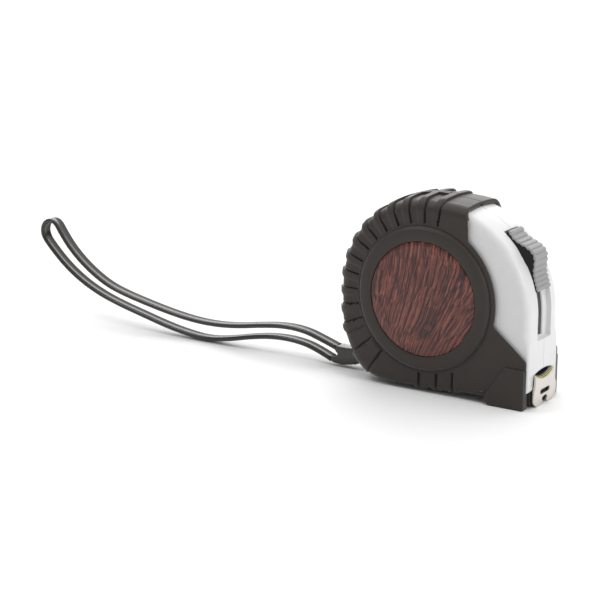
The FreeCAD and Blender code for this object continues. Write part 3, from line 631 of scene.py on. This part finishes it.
def foot_lumps():
    """Thicker rubber of the foot: side plate, sole and front."""
    side = [(26.4, 1.9), (34.6, 14.9), (35.3, 15.5), (43.35, 15.5), (43.3, 0.0), (28.9, 0.0)]
    sole = [(28.0, 0.05), (34.6, 0.05), (34.6, 5.0), (27.2, 5.0), (27.2, 1.9)]
    toe = [(34.0, 0.0), (43.3, 0.0), (43.3, 5.9), (34.0, 5.9)]
    bm = bmesh.new()
    for outline, low, high in ((side, -15.0, -12.2), (sole, -14.2, 0.0), (toe, -14.9, -10.95)):
        join_mesh(bm, plate(outline, low, high, 0.45, 3))
    return bm


def screw_holes(bm):
    """Round openings in the side that the case screws are reached through."""
    gone = []
    for point in bm.verts:
        if abs(point.co.y) < SHELL_Y - 0.4:
            continue
        for x, z in SCREWS:
            away = Vector((point.co.x - x, point.co.z - AXIS_Z - z))
            if away.length < SCREW_CLEAR:
                gone.append(point)
            elif away.length < SCREW_HOLE + SCREW_RIM:
                away = away.normalized() * SCREW_HOLE
                point.co.x, point.co.z = x + away.x, AXIS_Z + z + away.y
    bmesh.ops.delete(bm, geom=gone, context="VERTS")


# the first screw sits in the plastic, and the others in rubber
LIP_PROFILE = [(2.35, SHELL_Y), (2.35, 13.95), (2.5, 14.15), (2.9, 14.15), (3.05, 13.95),
               (3.1, 12.6)]


def screw_lips():
    """Raised lips round the openings in the rubber that the screws sit in."""
    lips = bmesh.new()
    for x, z in SCREWS[1:]:
        lip = turned(LIP_PROFILE, 32)
        bmesh.ops.translate(lip, verts=lip.verts, vec=(x, 0, z))
        join_mesh(lips, lip)
    return lips


class TAPE_OT_jacket(Operator):
    """Build both halves of the rubber jacket"""
    bl_idname = "tape.jacket"
    bl_label = "Jacket"

    def execute(self, context):
        rubber = material("jacket_rubber", looks().rubber_colour, 0.52, Specular_IOR_Level=0.3,
                          Sheen_Weight=0.32, Sheen_Roughness=0.35)
        grain(rubber, 2600, 0.22)
        for name, node, far in (("jacket_near", "jacket_left", False),
                                ("jacket_far", "jacket_right", True)):
            bm = jacket_half()
            foot = foot_lumps()
            if far:
                to_far_side(bm)
                screw_holes(bm)
                to_far_side(foot)
                join_mesh(foot, screw_lips())
            skin = walled(finish_mesh(name, bm, rubber), 0.0021)
            smooth_by_angle(skin, 42)
            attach(skin, "case")
            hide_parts(node)
            foot = finish_mesh(name + "_foot", foot, rubber)
            smooth_by_angle(foot)
            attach(foot, "case")
        return {"FINISHED"}


# ---------------- plastic case
NOSE_SIDE, SIDE_PITCH, SIDE_STEPS = 12.4, 0.4, 41
SIDE_DEPTH = 20.0  # how far the sides reach in behind the nose
NOSE_START, NOSE_STEP, NOSE_STEPS = 75.0, 0.5, 151
CHIN_STEP, CHIN_END, CHIN_ROUND, SOLE_LENGTH = 0.35, 7.6, 1.5, 11
DEGREES = 57.3  # in a radian
BELOW = -60.0  # stands for every place under the chin
BEND_STEPS = 13  # from the side round to the crown
CROWN_RADIUS, CROWN_HALF = 85.0, 10.2  # over the lock
CHIN_RADIUS, CHIN_HALF = 300.0, 11.3  # squarer round the mouth
CHANNEL_HALF, CHANNEL_DEPTH = 5.6, 1.9
CHANNEL_TOP, CHANNEL_LOW = 50.7, -11.5
NOSE_PLACES = [7.0, 6.4, 6.0, 5.75, 5.6, 5.55, 4.6, 3.6, 2.6, 1.9, 1.75, 1.7, 1.0, 0.4, 0.14, 0.0]
# slot along the middle of the channel floor; its faces are painted near-black, as painted shade
# for the dark of the open gap
SLOT_HALF, SLOT_LOW, SLOT_DEPTH = 1.8, -10.6, 0.5
MOUTH_HALF, MOUTH_LOW_HALF = 7.7, 7.2
MOUTH_LOW, MOUTH_SIDE_Z, MOUTH_RISE = 8.2, 12.7, 1.1


def nose_rows(angle):
    """Cross-section of one half of the nose: y and depth below the middle, to the seam."""
    over = soft_step(-16, -8, angle)
    crown = CHIN_RADIUS + (CROWN_RADIUS - CHIN_RADIUS) * over
    half = CHIN_HALF + (CROWN_HALF - CHIN_HALF) * over
    slope = math.asin(half / crown)
    bend = (NOSE_SIDE - half) / (1 - math.sin(slope))
    top_depth = crown * (1 - math.cos(slope))
    rows = [(-NOSE_SIDE, SIDE_DEPTH - SIDE_PITCH * step) for step in range(SIDE_STEPS)]
    for step in range(BEND_STEPS + 1):
        turn = math.pi / 2 + (slope - math.pi / 2) * step / BEND_STEPS
        y = half + bend * (math.sin(turn) - math.sin(slope))
        rows.append((-y, top_depth + bend * (math.cos(slope) - math.cos(turn))))
    return rows + [(-y, crown - math.sqrt(crown ** 2 - y * y)) for y in NOSE_PLACES]


def nose_path():
    """Profile of the nose in the middle plane: points, outward normals and arc angles."""
    places = []
    for step in range(NOSE_STEPS):
        angle = NOSE_START - step * NOSE_STEP
        out = on_circle(angle, 1)
        places.append((Vector(NOSE) + out * NOSE_RADIUS, out, angle))
    front = NOSE[0] + NOSE_RADIUS
    z = NOSE[1]
    while z > CHIN_END:
        z -= CHIN_STEP
        angle = (z - NOSE[1]) / NOSE_RADIUS * DEGREES
        places.append((Vector((front, z)), Vector((1, 0)), angle))
    inner = Vector((front - CHIN_ROUND, z))
    for step in range(1, 9):
        out = on_circle(-step * 11.25, 1)
        places.append((inner + out * CHIN_ROUND, out, BELOW))
    for step in range(1, SOLE_LENGTH + 1):
        under = Vector((front - CHIN_ROUND - step, z - CHIN_ROUND))
        places.append((under, Vector((0, -1)), BELOW))
    return places


def window(value, low, high, soft):
    return (soft_step(low - soft, low + soft, value)
            * (1 - soft_step(high - soft, high + soft, value)))


def nose_half():
    """Near half of the front of the case, with its channel, lock slot and mouth."""
    columns = nose_path()
    sections = [nose_rows(angle) for _, _, angle in columns]

    def place(i, j):
        spot, out, angle = columns[i]
        y, depth = sections[i][j]
        if abs(y) <= CHANNEL_HALF:
            depth += CHANNEL_DEPTH * window(angle, CHANNEL_LOW, CHANNEL_TOP, 0.35)
        if abs(y) < SLOT_HALF:
            depth += SLOT_DEPTH * window(angle, SLOT_LOW, CHANNEL_TOP - 1, 0.35)
        depth += 0.18 * (1 - soft_step(0.0, 0.15, abs(y)))
        away = Vector((1, 0)) * (1 + out.y) if out.y < -0.01 else out
        moved = spot - away * depth
        lens = 1 - (y / MOUTH_HALF) ** 2
        if lens > 0 and out.y == 0:
            moved.y += MOUTH_RISE * lens * (1 - soft_step(0.2, 5.0, abs(spot.y - MOUTH_SIDE_Z)))
        return Vector((moved.x, y, moved.y))

    bm = grid(len(columns), len(sections[0]), place)
    gone = []
    for face in bm.faces:
        middle = face.calc_center_median()
        z = middle.z - MOUTH_RISE * max(1 - (middle.y / MOUTH_HALF) ** 2, 0)
        angle = math.degrees(math.atan2(middle.z - NOSE[1], middle.x - NOSE[0]))
        half = MOUTH_HALF if middle.z > 12.0 else MOUTH_LOW_HALF
        if (middle.x > 38 and abs(middle.y) < half
                and MOUTH_LOW < middle.z and z < MOUTH_SIDE_Z - 0.1):
            gone.append(face)
        # the slot's faces take the near-black second material: painted shade standing in for the
        # dark of the open gap
        if (abs(middle.y) < SLOT_HALF and middle.x > NOSE[0]
                and SLOT_LOW < angle < CHANNEL_TOP - 1):
            face.material_index = 1
    bmesh.ops.delete(bm, geom=gone, context="FACES")
    face_out(bm, Vector((0, 0, AXIS_Z)))
    return bm


class TAPE_OT_case(Operator):
    """Build the satin plastic case halves with the nose"""
    bl_idname = "tape.case"
    bl_label = "Case"

    def execute(self, context):
        plastic = material("case_plastic", looks().nose_colour, 0.38, Specular_IOR_Level=0.5)
        grain(plastic, 1800, 0.06)
        tones(plastic, looks().nose_colour, spread=0.012)
        # near-black material for the slot: painted shade, not a black part
        slot_black = material("slot_black", grey(0.04), 0.55)
        grain(slot_black, 900, 0.2)
        for name, node, far in (("case_near", "shell_left", False),
                                ("case_far", "shell_right", True)):
            bm = nose_half()
            if far:
                to_far_side(bm)
                screw_holes(bm)
            skin = walled(finish_mesh(name, bm, plastic, slot_black), 0.0012)
            smooth_by_angle(skin)
            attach(skin, "case")
            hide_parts(node)
        return {"FINISHED"}


# ---------------- thumb lock
LOCK_TOP, LOCK_LOW, LOCK_HALF = 49.5, 14.5, 5.3
LOCK_SPAN = round(LOCK_TOP - LOCK_LOW)
PAD_PROFILE = [(52.0, 42.5), (49.5, 42.5), (45.0, 42.0), (41.0, 42.8), (38.5, 43.9), (35.0, 45.0),
               (32.5, 45.3), (30.0, 44.8), (28.0, 43.9), (25.0, 42.6), (21.5, 41.9), (14.5, 41.8),
               (11.0, 41.8)]
RIDGES, RIDGE_CROWDING = 13, 0.12  # the ridges come closer together towards the low end
PAD_DEPTH = 0.65
PAD_STEPS = 260
RIDGE_DIP, TOOTH_HEIGHT, TOOTH_BASE = 0.42, 0.85, 0.3
FLANK_RADIUS, FLANK_SLOPE = 39.75, 0.3


def pad_radius(angle):
    """Distance of the pad's surface from the nose centre, smooth through its profile points."""
    for k in range(1, len(PAD_PROFILE) - 2):
        (a1, r1), (a2, r2) = PAD_PROFILE[k], PAD_PROFILE[k + 1]
        if a1 >= angle >= a2:
            (a0, r0), (a3, r3) = PAD_PROFILE[k - 1], PAD_PROFILE[k + 2]
            t = (a1 - angle) / (a1 - a2)
            m1 = (r2 - r0) / (a0 - a2) * (a1 - a2)
            m2 = (r3 - r1) / (a1 - a3) * (a1 - a2)
            return ((2 * t ** 3 - 3 * t ** 2 + 1) * r1 + (t ** 3 - 2 * t ** 2 + t) * m1
                    + (3 * t ** 2 - 2 * t ** 3) * r2 + (t ** 3 - t ** 2) * m2)
    raise ValueError("angle is outside the pad")


def on_nose(angle, radius, y):
    turn = math.radians(angle)
    return Vector((NOSE[0] + radius * math.cos(turn), y, NOSE[1] + radius * math.sin(turn)))


def ridge_part(angle):
    """Share of the way down one ridge of the pad, from 0 to 1."""
    way = (LOCK_TOP - angle) / (LOCK_TOP - LOCK_LOW)
    return RIDGES * (way + RIDGE_CROWDING * way * (way - 1)) % 1.0


def pad_mesh():
    # share of the half width, height against the profile, and how deep the side teeth cut
    section = [(1.0, -PAD_DEPTH, 1.0), (1.0, -0.5, 0.6), (1.0, -0.35, 0.2), (0.985, -0.2, 0.0),
               (0.95, -0.05, 0.0), (0.9, 0.0, 0.0)]
    section += [(0.9 - 0.2 * k, 0.0, 0.0) for k in range(1, 5)]
    section += [(-a, b, c) for a, b, c in reversed(section)]

    def place(i, j):
        across, drop, serration = section[j]
        inside = min(max(i - 1, 0), PAD_STEPS - 2)
        angle = LOCK_TOP + (LOCK_LOW - LOCK_TOP) * inside / (PAD_STEPS - 2)
        part = ridge_part(angle)
        crest = soft_step(0.0, 0.38, part) * (1 - soft_step(0.78, 0.98, part))
        tooth = 1 - abs(2 * part - 1)
        radius = pad_radius(angle) - RIDGE_DIP * (1 - crest) + drop
        radius -= serration * (TOOTH_HEIGHT * tooth - TOOTH_BASE)
        if i == 0 or i == PAD_STEPS:
            radius = pad_radius(angle) - PAD_DEPTH - 0.3
        return on_nose(angle, radius, across * LOCK_HALF * (1 - 0.012 * (1 - crest)))

    return grid(PAD_STEPS + 1, len(section), place)


class TAPE_OT_lock(Operator):
    """Build the thumb lock with its ridged pad"""
    bl_idname = "tape.lock"
    bl_label = "Thumb lock"

    def execute(self, context):
        rubber = material("pad_rubber", looks().pad_colour, 0.6)
        grain(rubber, 3000, 0.15)
        bm = pad_mesh()
        even_normals(bm)
        pad = finish_mesh("lock_grip", bm, rubber)
        smooth_by_angle(pad, 50)
        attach(pad, "lock")
        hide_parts("lock_pad")

        black = material("lock_black", grey(0.011), 0.6, Specular_IOR_Level=0.25)
        grain(black, 1500, 0.6, 0.0003)
        outline = []
        for step in range(2 * LOCK_SPAN + 1):
            angle = LOCK_TOP - step * 0.5
            spot = on_nose(angle, pad_radius(angle) - 0.6, 0)
            outline.append((spot.x, spot.z))
        for step in range(LOCK_SPAN + 1):
            spot = on_nose(LOCK_LOW + step, FLANK_RADIUS, 0)
            outline.append((spot.x, spot.z))
        bm = plate(outline, -LOCK_HALF + 0.06, LOCK_HALF - 0.06, 0.12)
        for point in bm.verts:
            spot = Vector((point.co.x - NOSE[0], point.co.z - NOSE[1]))
            angle = min(max(math.degrees(math.atan2(spot.y, spot.x)), LOCK_LOW), LOCK_TOP)
            under = max(pad_radius(angle) - 1.2 - spot.length, 0.0)
            point.co.y *= 1 + FLANK_SLOPE * under / LOCK_HALF
        body = finish_mesh("lock_slider", bm, black)
        smooth_by_angle(body)
        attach(body, "lock")
        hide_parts("lock_body")
        return {"FINISHED"}


# ---------------- badge
DOME_RADIUS, DOME_RISE, DOME_Y, DOME_STEPS = 22.0, 0.47, 15.49, 14
# wood grain: height it leans from, in metres, its lean, how that fans out, and how long it is
GRAIN_TOP, GRAIN_LEAN, GRAIN_FAN, GRAIN_STRETCH = 0.060, 8.5, 260.0, 0.06


class TAPE_OT_badge(Operator):
    """Build the domed badge"""
    bl_idname = "tape.badge"
    bl_label = "Badge"

    def execute(self, context):
        dome = [(22.4, -SHELL_Y), (22.4, -14.55), (22.3, -14.85), (22.05, -15.0)]
        for step in range(1, DOME_STEPS + 1):
            radius = DOME_RADIUS * (1 - step / DOME_STEPS)
            dome.append((max(radius, 0.0), DOME_RISE * (radius / DOME_RADIUS) ** 2 - DOME_Y))
        wood = material("rosewood_print", (0.2, 0.06, 0.04), 0.3,
                        Specular_IOR_Level=0.35, Coat_Weight=0.15, Coat_Roughness=0.05)
        rosewood(wood)
        disc = finish_mesh("badge_disc", turned(dome), wood)
        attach(disc, "case")
        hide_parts("badge")
        return {"FINISHED"}


def rosewood(made):
    """Dark streaks that stand upright on the left and lean over to the lower right."""
    tree = made.node_tree
    place, axes = object_axes(tree)
    x, z = axes["X"], axes["Z"]
    # coordinate across the grain: upright at the top, leaning over towards the lower right
    low = maths(tree, "SUBTRACT", GRAIN_TOP, z)
    bend = maths(tree, "MULTIPLY_ADD", x, GRAIN_FAN, GRAIN_LEAN)
    lean = maths(tree, "MULTIPLY_ADD", maths(tree, "MULTIPLY", low, low), bend, x)
    joined = tree.nodes.new("ShaderNodeCombineXYZ")
    tree.links.new(lean, joined.inputs["X"])
    tree.links.new(maths(tree, "MULTIPLY", z, GRAIN_STRETCH), joined.inputs["Z"])
    warp = tree.nodes.new("ShaderNodeTexNoise")
    warp.inputs["Scale"].default_value = 90
    warp.inputs["Detail"].default_value = 2
    tree.links.new(place, warp.inputs["Vector"])
    push = tree.nodes.new("ShaderNodeMix")
    push.data_type = "VECTOR"
    push.inputs["Factor"].default_value = 0.0022
    tree.links.new(joined.outputs[0], push.inputs["A"])
    tree.links.new(warp.outputs["Color"], push.inputs["B"])
    streaks = tree.nodes.new("ShaderNodeTexNoise")
    streaks.inputs["Scale"].default_value = 1450
    streaks.inputs["Detail"].default_value = 5
    streaks.inputs["Roughness"].default_value = 0.62
    tree.links.new(push.outputs["Result"], streaks.inputs["Vector"])
    ramp(made, streaks.outputs["Fac"],
         [(0.36, (0.012, 0.004, 0.006)), (0.45, (0.045, 0.012, 0.012)),
          (0.53, (0.135, 0.034, 0.023)), (0.66, (0.28, 0.095, 0.065))], "Base Color")


# ---------------- end hook
BLADE_CURVE, BLADE_LOW = 17.37, 10.3
HOOK_X, HOOK_GAUGE, HOOK_BOTTOM = 44.5, 0.8, 0.3
HOOK_SLOT_X, HOOK_SLOT_Z, HOOK_SLOT_ROUND = 3.1, 5.1, 0.9
TAB_HALF, TAB_BACK, TAB_LENGTH = 7.4, 9.5, 9.35


def hook_outline():
    half = []
    for step in range(13):
        y = 7.9 * step / 12
        half.append((y, BLADE_LOW - 0.1 + BLADE_CURVE - math.sqrt(BLADE_CURVE ** 2 - y * y)))
    # side, foot and the notch in the middle
    half += [(8.1, 11.9), (8.2, 11.0), (8.4, 8.8), (8.9, 7.3), (9.5, 6.2), (9.7, 5.2), (9.7, 2.6)]
    half += [(9.3, 1.9), (7.6, 0.5), (7.0, HOOK_BOTTOM), (2.6, HOOK_BOTTOM), (2.1, 0.5)]
    half += [(1.75, 1.2), (1.95, 1.6), (2.3, 2.1), (2.1, 2.7), (1.3, 3.05), (0.0, 3.1)]
    return half + [(-y, z) for y, z in reversed(half[1:-1])]


def hook_mesh():
    bm = bmesh.new()
    slot = []
    for middle, start in ((HOOK_SLOT_X, -90), (-HOOK_SLOT_X, 90)):
        for step in range(9):
            turn = math.radians(start + step * 22.5)
            slot.append((middle + HOOK_SLOT_ROUND * math.cos(turn),
                         HOOK_SLOT_Z + HOOK_SLOT_ROUND * math.sin(turn)))
    for outline in (hook_outline(), slot):
        points = [bm.verts.new((HOOK_X, y, z)) for y, z in outline]
        for a, b in zip(points, points[1:] + points[:1]):
            bm.edges.new((a, b))
    bmesh.ops.triangle_fill(bm, use_beauty=True, edges=bm.edges[:])
    made = bmesh.ops.extrude_face_region(bm, geom=bm.faces[:])
    for item in made["geom"]:
        if isinstance(item, bmesh.types.BMVert):
            item.co.x += HOOK_GAUGE
    even_normals(bm)
    sharp = [e for e in bm.edges
             if e.calc_face_angle(0) > 1.2 and abs(e.verts[0].co.x - e.verts[1].co.x) < 0.1]
    round_edges(bm, sharp, 0.14, 2)
    return bm


class TAPE_OT_hook(Operator):
    """Build the steel end hook"""
    bl_idname = "tape.hook"
    bl_label = "End hook"

    def execute(self, context):
        steel = material("hook_nickel", (0.70, 0.66, 0.615), 0.36, 0.85)
        grain(steel, 900, 0.05)
        plate_piece = finish_mesh("hook_plate", hook_mesh(), steel)
        smooth_by_angle(plate_piece)
        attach(plate_piece, "hook")
        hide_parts("end_hook")

        def place(i, j):
            lift = math.asin(TAB_HALF / BLADE_CURVE) * (j / 8 - 1)
            radius = BLADE_CURVE - 0.3
            return Vector((HOOK_X - TAB_BACK + TAB_LENGTH * i / 8, radius * math.sin(lift),
                           BLADE_LOW + BLADE_CURVE - radius * math.cos(lift)))

        bm = grid(9, 17, place)
        face_out(bm, Vector((HOOK_X - 5, 0, -100)))
        dull = material("hook_tab_steel", (0.2, 0.2, 0.21), 0.4, 0.9)
        grain(dull, 900, 0.05)
        tab = walled(finish_mesh("hook_tab", bm, dull), 0.0004, 1)
        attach(tab, "hook")
        return {"FINISHED"}


# ---------------- strap neck
class TAPE_OT_neck(Operator):
    """Build the neck of the strap, and a near-black open box that paints shade into the hole it
    comes out of
    """
    bl_idname = "tape.neck"
    bl_label = "Strap neck"

    def execute(self, context):
        outline = [(-46.3, 8.4), (-45.2, 8.6), (-41.5, 8.5), (-38.0, 8.7), (-33.0, 9.7),
                   (-26.0, 12.4), (-23.4, 9.6), (-25.4, 6.6), (-31.5, 4.1), (-37.0, 2.1),
                   (-43.0, 1.0), (-48.0, 1.5), (-48.9, 3.2), (-46.4, 4.0), (-45.2, 5.2),
                   (-46.5, 6.5)]
        half = looks().strap_width / MM / 2
        piece = finish_mesh("strap_neck_tab", plate(outline, -half, half, 0.55, 3),
                            bpy.data.materials["strap_vinyl"])
        smooth_by_angle(piece, 60)
        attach(piece, "strap")
        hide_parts("strap_neck")
        # near-black open box inside the strap hole: painted shade for the dark of the opening,
        # not a real part
        dark = material("socket_black", grey(0.01), 0.8)
        grain(dark, 900, 0.2)
        box = plate([(-31.6, 9.8), (-27.0, 11.5), (-22.0, 7.6), (-24.6, 4.2), (-27.4, 2.9)],
                    -3.3, 3.3)
        open_side = [face for face in box.faces if face.calc_center_median().x < -29]
        bmesh.ops.delete(box, geom=open_side, context="FACES")
        socket = finish_mesh("strap_socket", box, dark, smooth=False)
        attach(socket, "case")
        return {"FINISHED"}


# ---------------- carried parts
# name, colour, roughness, metallic and how the grain is stretched along X, Y and Z
CARRIED = {
    "back_disc": ("disc_black", (0.022, 0.02, 0.019), 0.45, 0.0, EVEN),
    "axle_post": ("post_black", grey(0.02), 0.5, 0.0, EVEN),
    "spool": ("spool_plastic", (0.5, 0.5, 0.48), 0.5, 0.0, EVEN),
    "spool_cover": ("cover_plastic", (0.5, 0.5, 0.48), 0.5, 0.0, EVEN),
    "blade_coil": ("coil_yellow", (0.62, 0.5, 0.06), 0.35, 0.2, (1, 0.05, 1)),
    "power_spring": ("spring_blue", (0.16, 0.17, 0.2), 0.35, 1.0, (1, 0.05, 1)),
    "blade_tongue": ("blade_yellow", (0.75, 0.66, 0.08), 0.35, 0.0, (0.1, 1, 1)),
    "hook_rivets": ("rivet_steel", (0.5, 0.48, 0.44), 0.3, 1.0, EVEN),
    "mouth_guide": ("guide_black", grey(0.02), 0.5, 0.0, EVEN),
    "hook_bumper": ("bumper_rubber", (0.016, 0.015, 0.014), 0.7, 0.0, EVEN),
    "brake_arm": ("arm_black", grey(0.02), 0.5, 0.0, EVEN),
    "case_screws": ("screw_black", grey(0.05), 0.5, 0.7, EVEN),
    "clip_foot": ("clip_seat_steel", (0.24, 0.24, 0.25), 0.36, 1.0, (1, 1, 0.04)),
    "belt_clip": ("clip_steel", (0.24, 0.24, 0.25), 0.36, 1.0, (1, 1, 0.04)),
    "clip_screw": ("clip_screw_steel", grey(0.12), 0.4, 1.0, EVEN),
    "strap_pin": ("pin_steel", grey(0.3), 0.35, 1.0, (1, 0.05, 1)),
}


# spacing, width and inner end of the strokes, in millimetres
STROKES = [(1.0, 0.2, 6.2), (5.0, 0.28, 5.2), (10.0, 0.4, 3.6)]


class TAPE_OT_carried(Operator):
    """Give the carried-over parts their finishes"""
    bl_idname = "tape.carried"
    bl_label = "Carried parts"

    def execute(self, context):
        for node, (name, colour, roughness, metallic, stretch) in CARRIED.items():
            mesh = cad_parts[node].data
            mesh.materials.clear()
            made = material(name, colour, roughness, metallic)
            grain(made, 1400, 0.12, stretch=stretch)
            tones(made, colour, stretch)
            mesh.materials.append(made)
            if node == "blade_tongue":
                graduations(made, colour)
        return {"FINISHED"}


def graduations(made, colour):
    """Millimetre, half and full centimetre strokes from both edges of the blade."""
    tree = made.node_tree
    _, axes = object_axes(tree)
    along = maths(tree, "MULTIPLY", maths(tree, "ADD", axes["X"], 1.0), 1000.0)
    edge = maths(tree, "MULTIPLY", maths(tree, "ABSOLUTE", axes["Y"]), 1000.0)
    ink = 0.0
    for pitch, width, inner in STROKES:
        stroke = maths(tree, "LESS_THAN", maths(tree, "MODULO", along, pitch), width)
        outer = maths(tree, "GREATER_THAN", edge, inner)
        ink = maths(tree, "MAXIMUM", ink, maths(tree, "MULTIPLY", stroke, outer))
    ramp(made, ink, [(0.0, colour), (1.0, (0.015, 0.015, 0.015))], "Base Color")


# ---------------- stage
FLOOR_HALF = 20000
WORLD_LIGHT = 0.36
# name, kind, place, width in metres or spread in degrees, power
LAMPS = [("key", "AREA", (-0.5, -0.3, 0.8), 0.3, 1.4),
         ("front", "AREA", (0.8, -0.1, 0.35), 0.3, 2.2),
         ("back", "SUN", (-0.55, 1.0, 0.42), 50, 1.0),
         ("overhead", "SUN", (-0.1, 0.35, 0.9), 100, 2.2)]
LAMP_AIM = (-0.03, 0, 0.03)
CAMERA_PLACE, CAMERA_TURN = (0.3060, -0.5658, 0.1984), (33.25, 14.42)  # metres; degrees
CAMERA_LENS = 102.84


class TAPE_OT_stage(Operator):
    """Set up the floor, the soft lights and the camera"""
    bl_idname = "tape.stage"
    bl_label = "Stage"

    def execute(self, context):
        bm = bmesh.new()
        bmesh.ops.create_grid(bm, x_segments=1, y_segments=1, size=FLOOR_HALF)
        floor = finish_mesh("floor", bm, material("floor", grey(0.9), 0.8), smooth=False)
        world = bpy.data.worlds.new("studio")
        world.use_nodes = True
        background = world.node_tree.nodes["Background"]
        background.inputs["Color"].default_value = (1, 1, 1, 1)
        background.inputs["Strength"].default_value = WORLD_LIGHT
        context.scene.world = world
        for name, kind, place, width, power in LAMPS:
            lamp = bpy.data.lights.new(name, kind)
            lamp.energy = power
            if kind == "SUN":
                lamp.angle = math.radians(width)
            else:
                lamp.shape = "DISK"
                lamp.size = width
            holder = bpy.data.objects.new(name, lamp)
            holder.location = place
            aim = Vector(LAMP_AIM) - Vector(place)
            holder.rotation_euler = aim.to_track_quat("-Z", "Y").to_euler()
            context.scene.collection.objects.link(holder)
        azimuth, elevation = (math.radians(angle) for angle in CAMERA_TURN)
        lens = bpy.data.cameras.new("camera")
        lens.sensor_width = 36
        lens.lens = CAMERA_LENS
        camera = bpy.data.objects.new("camera", lens)
        camera.location = CAMERA_PLACE
        back = Vector((math.sin(azimuth) * math.cos(elevation),
                       -math.cos(azimuth) * math.cos(elevation), math.sin(elevation)))
        camera.rotation_euler = back.to_track_quat("Z", "Y").to_euler()
        context.scene.collection.objects.link(camera)
        context.scene.camera = camera
        context.scene.view_settings.view_transform = "Standard"
        return {"FINISHED"}


PIECES = [TAPE_OT_strap, TAPE_OT_neck, TAPE_OT_jacket, TAPE_OT_case, TAPE_OT_lock, TAPE_OT_badge,
          TAPE_OT_hook, TAPE_OT_carried, TAPE_OT_stage]


class TAPE_PT_panel(Panel):
    """Sizes, colours and build steps of the tape measure"""
    bl_idname = "TAPE_PT_panel"
    bl_label = "Tape Measure"
    bl_space_type = "VIEW_3D"
    bl_region_type = "UI"
    bl_category = "Tape Measure"

    def draw(self, context):
        for name in TapeLooks.__annotations__:
            self.layout.prop(context.scene.tape_looks, name)
        for piece in PIECES:
            self.layout.operator(piece.bl_idname)


CLASSES = [TapeLooks, *PIECES, TAPE_PT_panel]


def register():
    for each in CLASSES:
        bpy.utils.register_class(each)
    bpy.types.Scene.tape_looks = PointerProperty(type=TapeLooks)


def unregister():
    del bpy.types.Scene.tape_looks
    for each in reversed(CLASSES):
        bpy.utils.unregister_class(each)


def main():
    register()
    for piece in PIECES:
        group, step = piece.bl_idname.split(".")
        getattr(getattr(bpy.ops, group), step)()


if __name__ == "__main__":
    main()
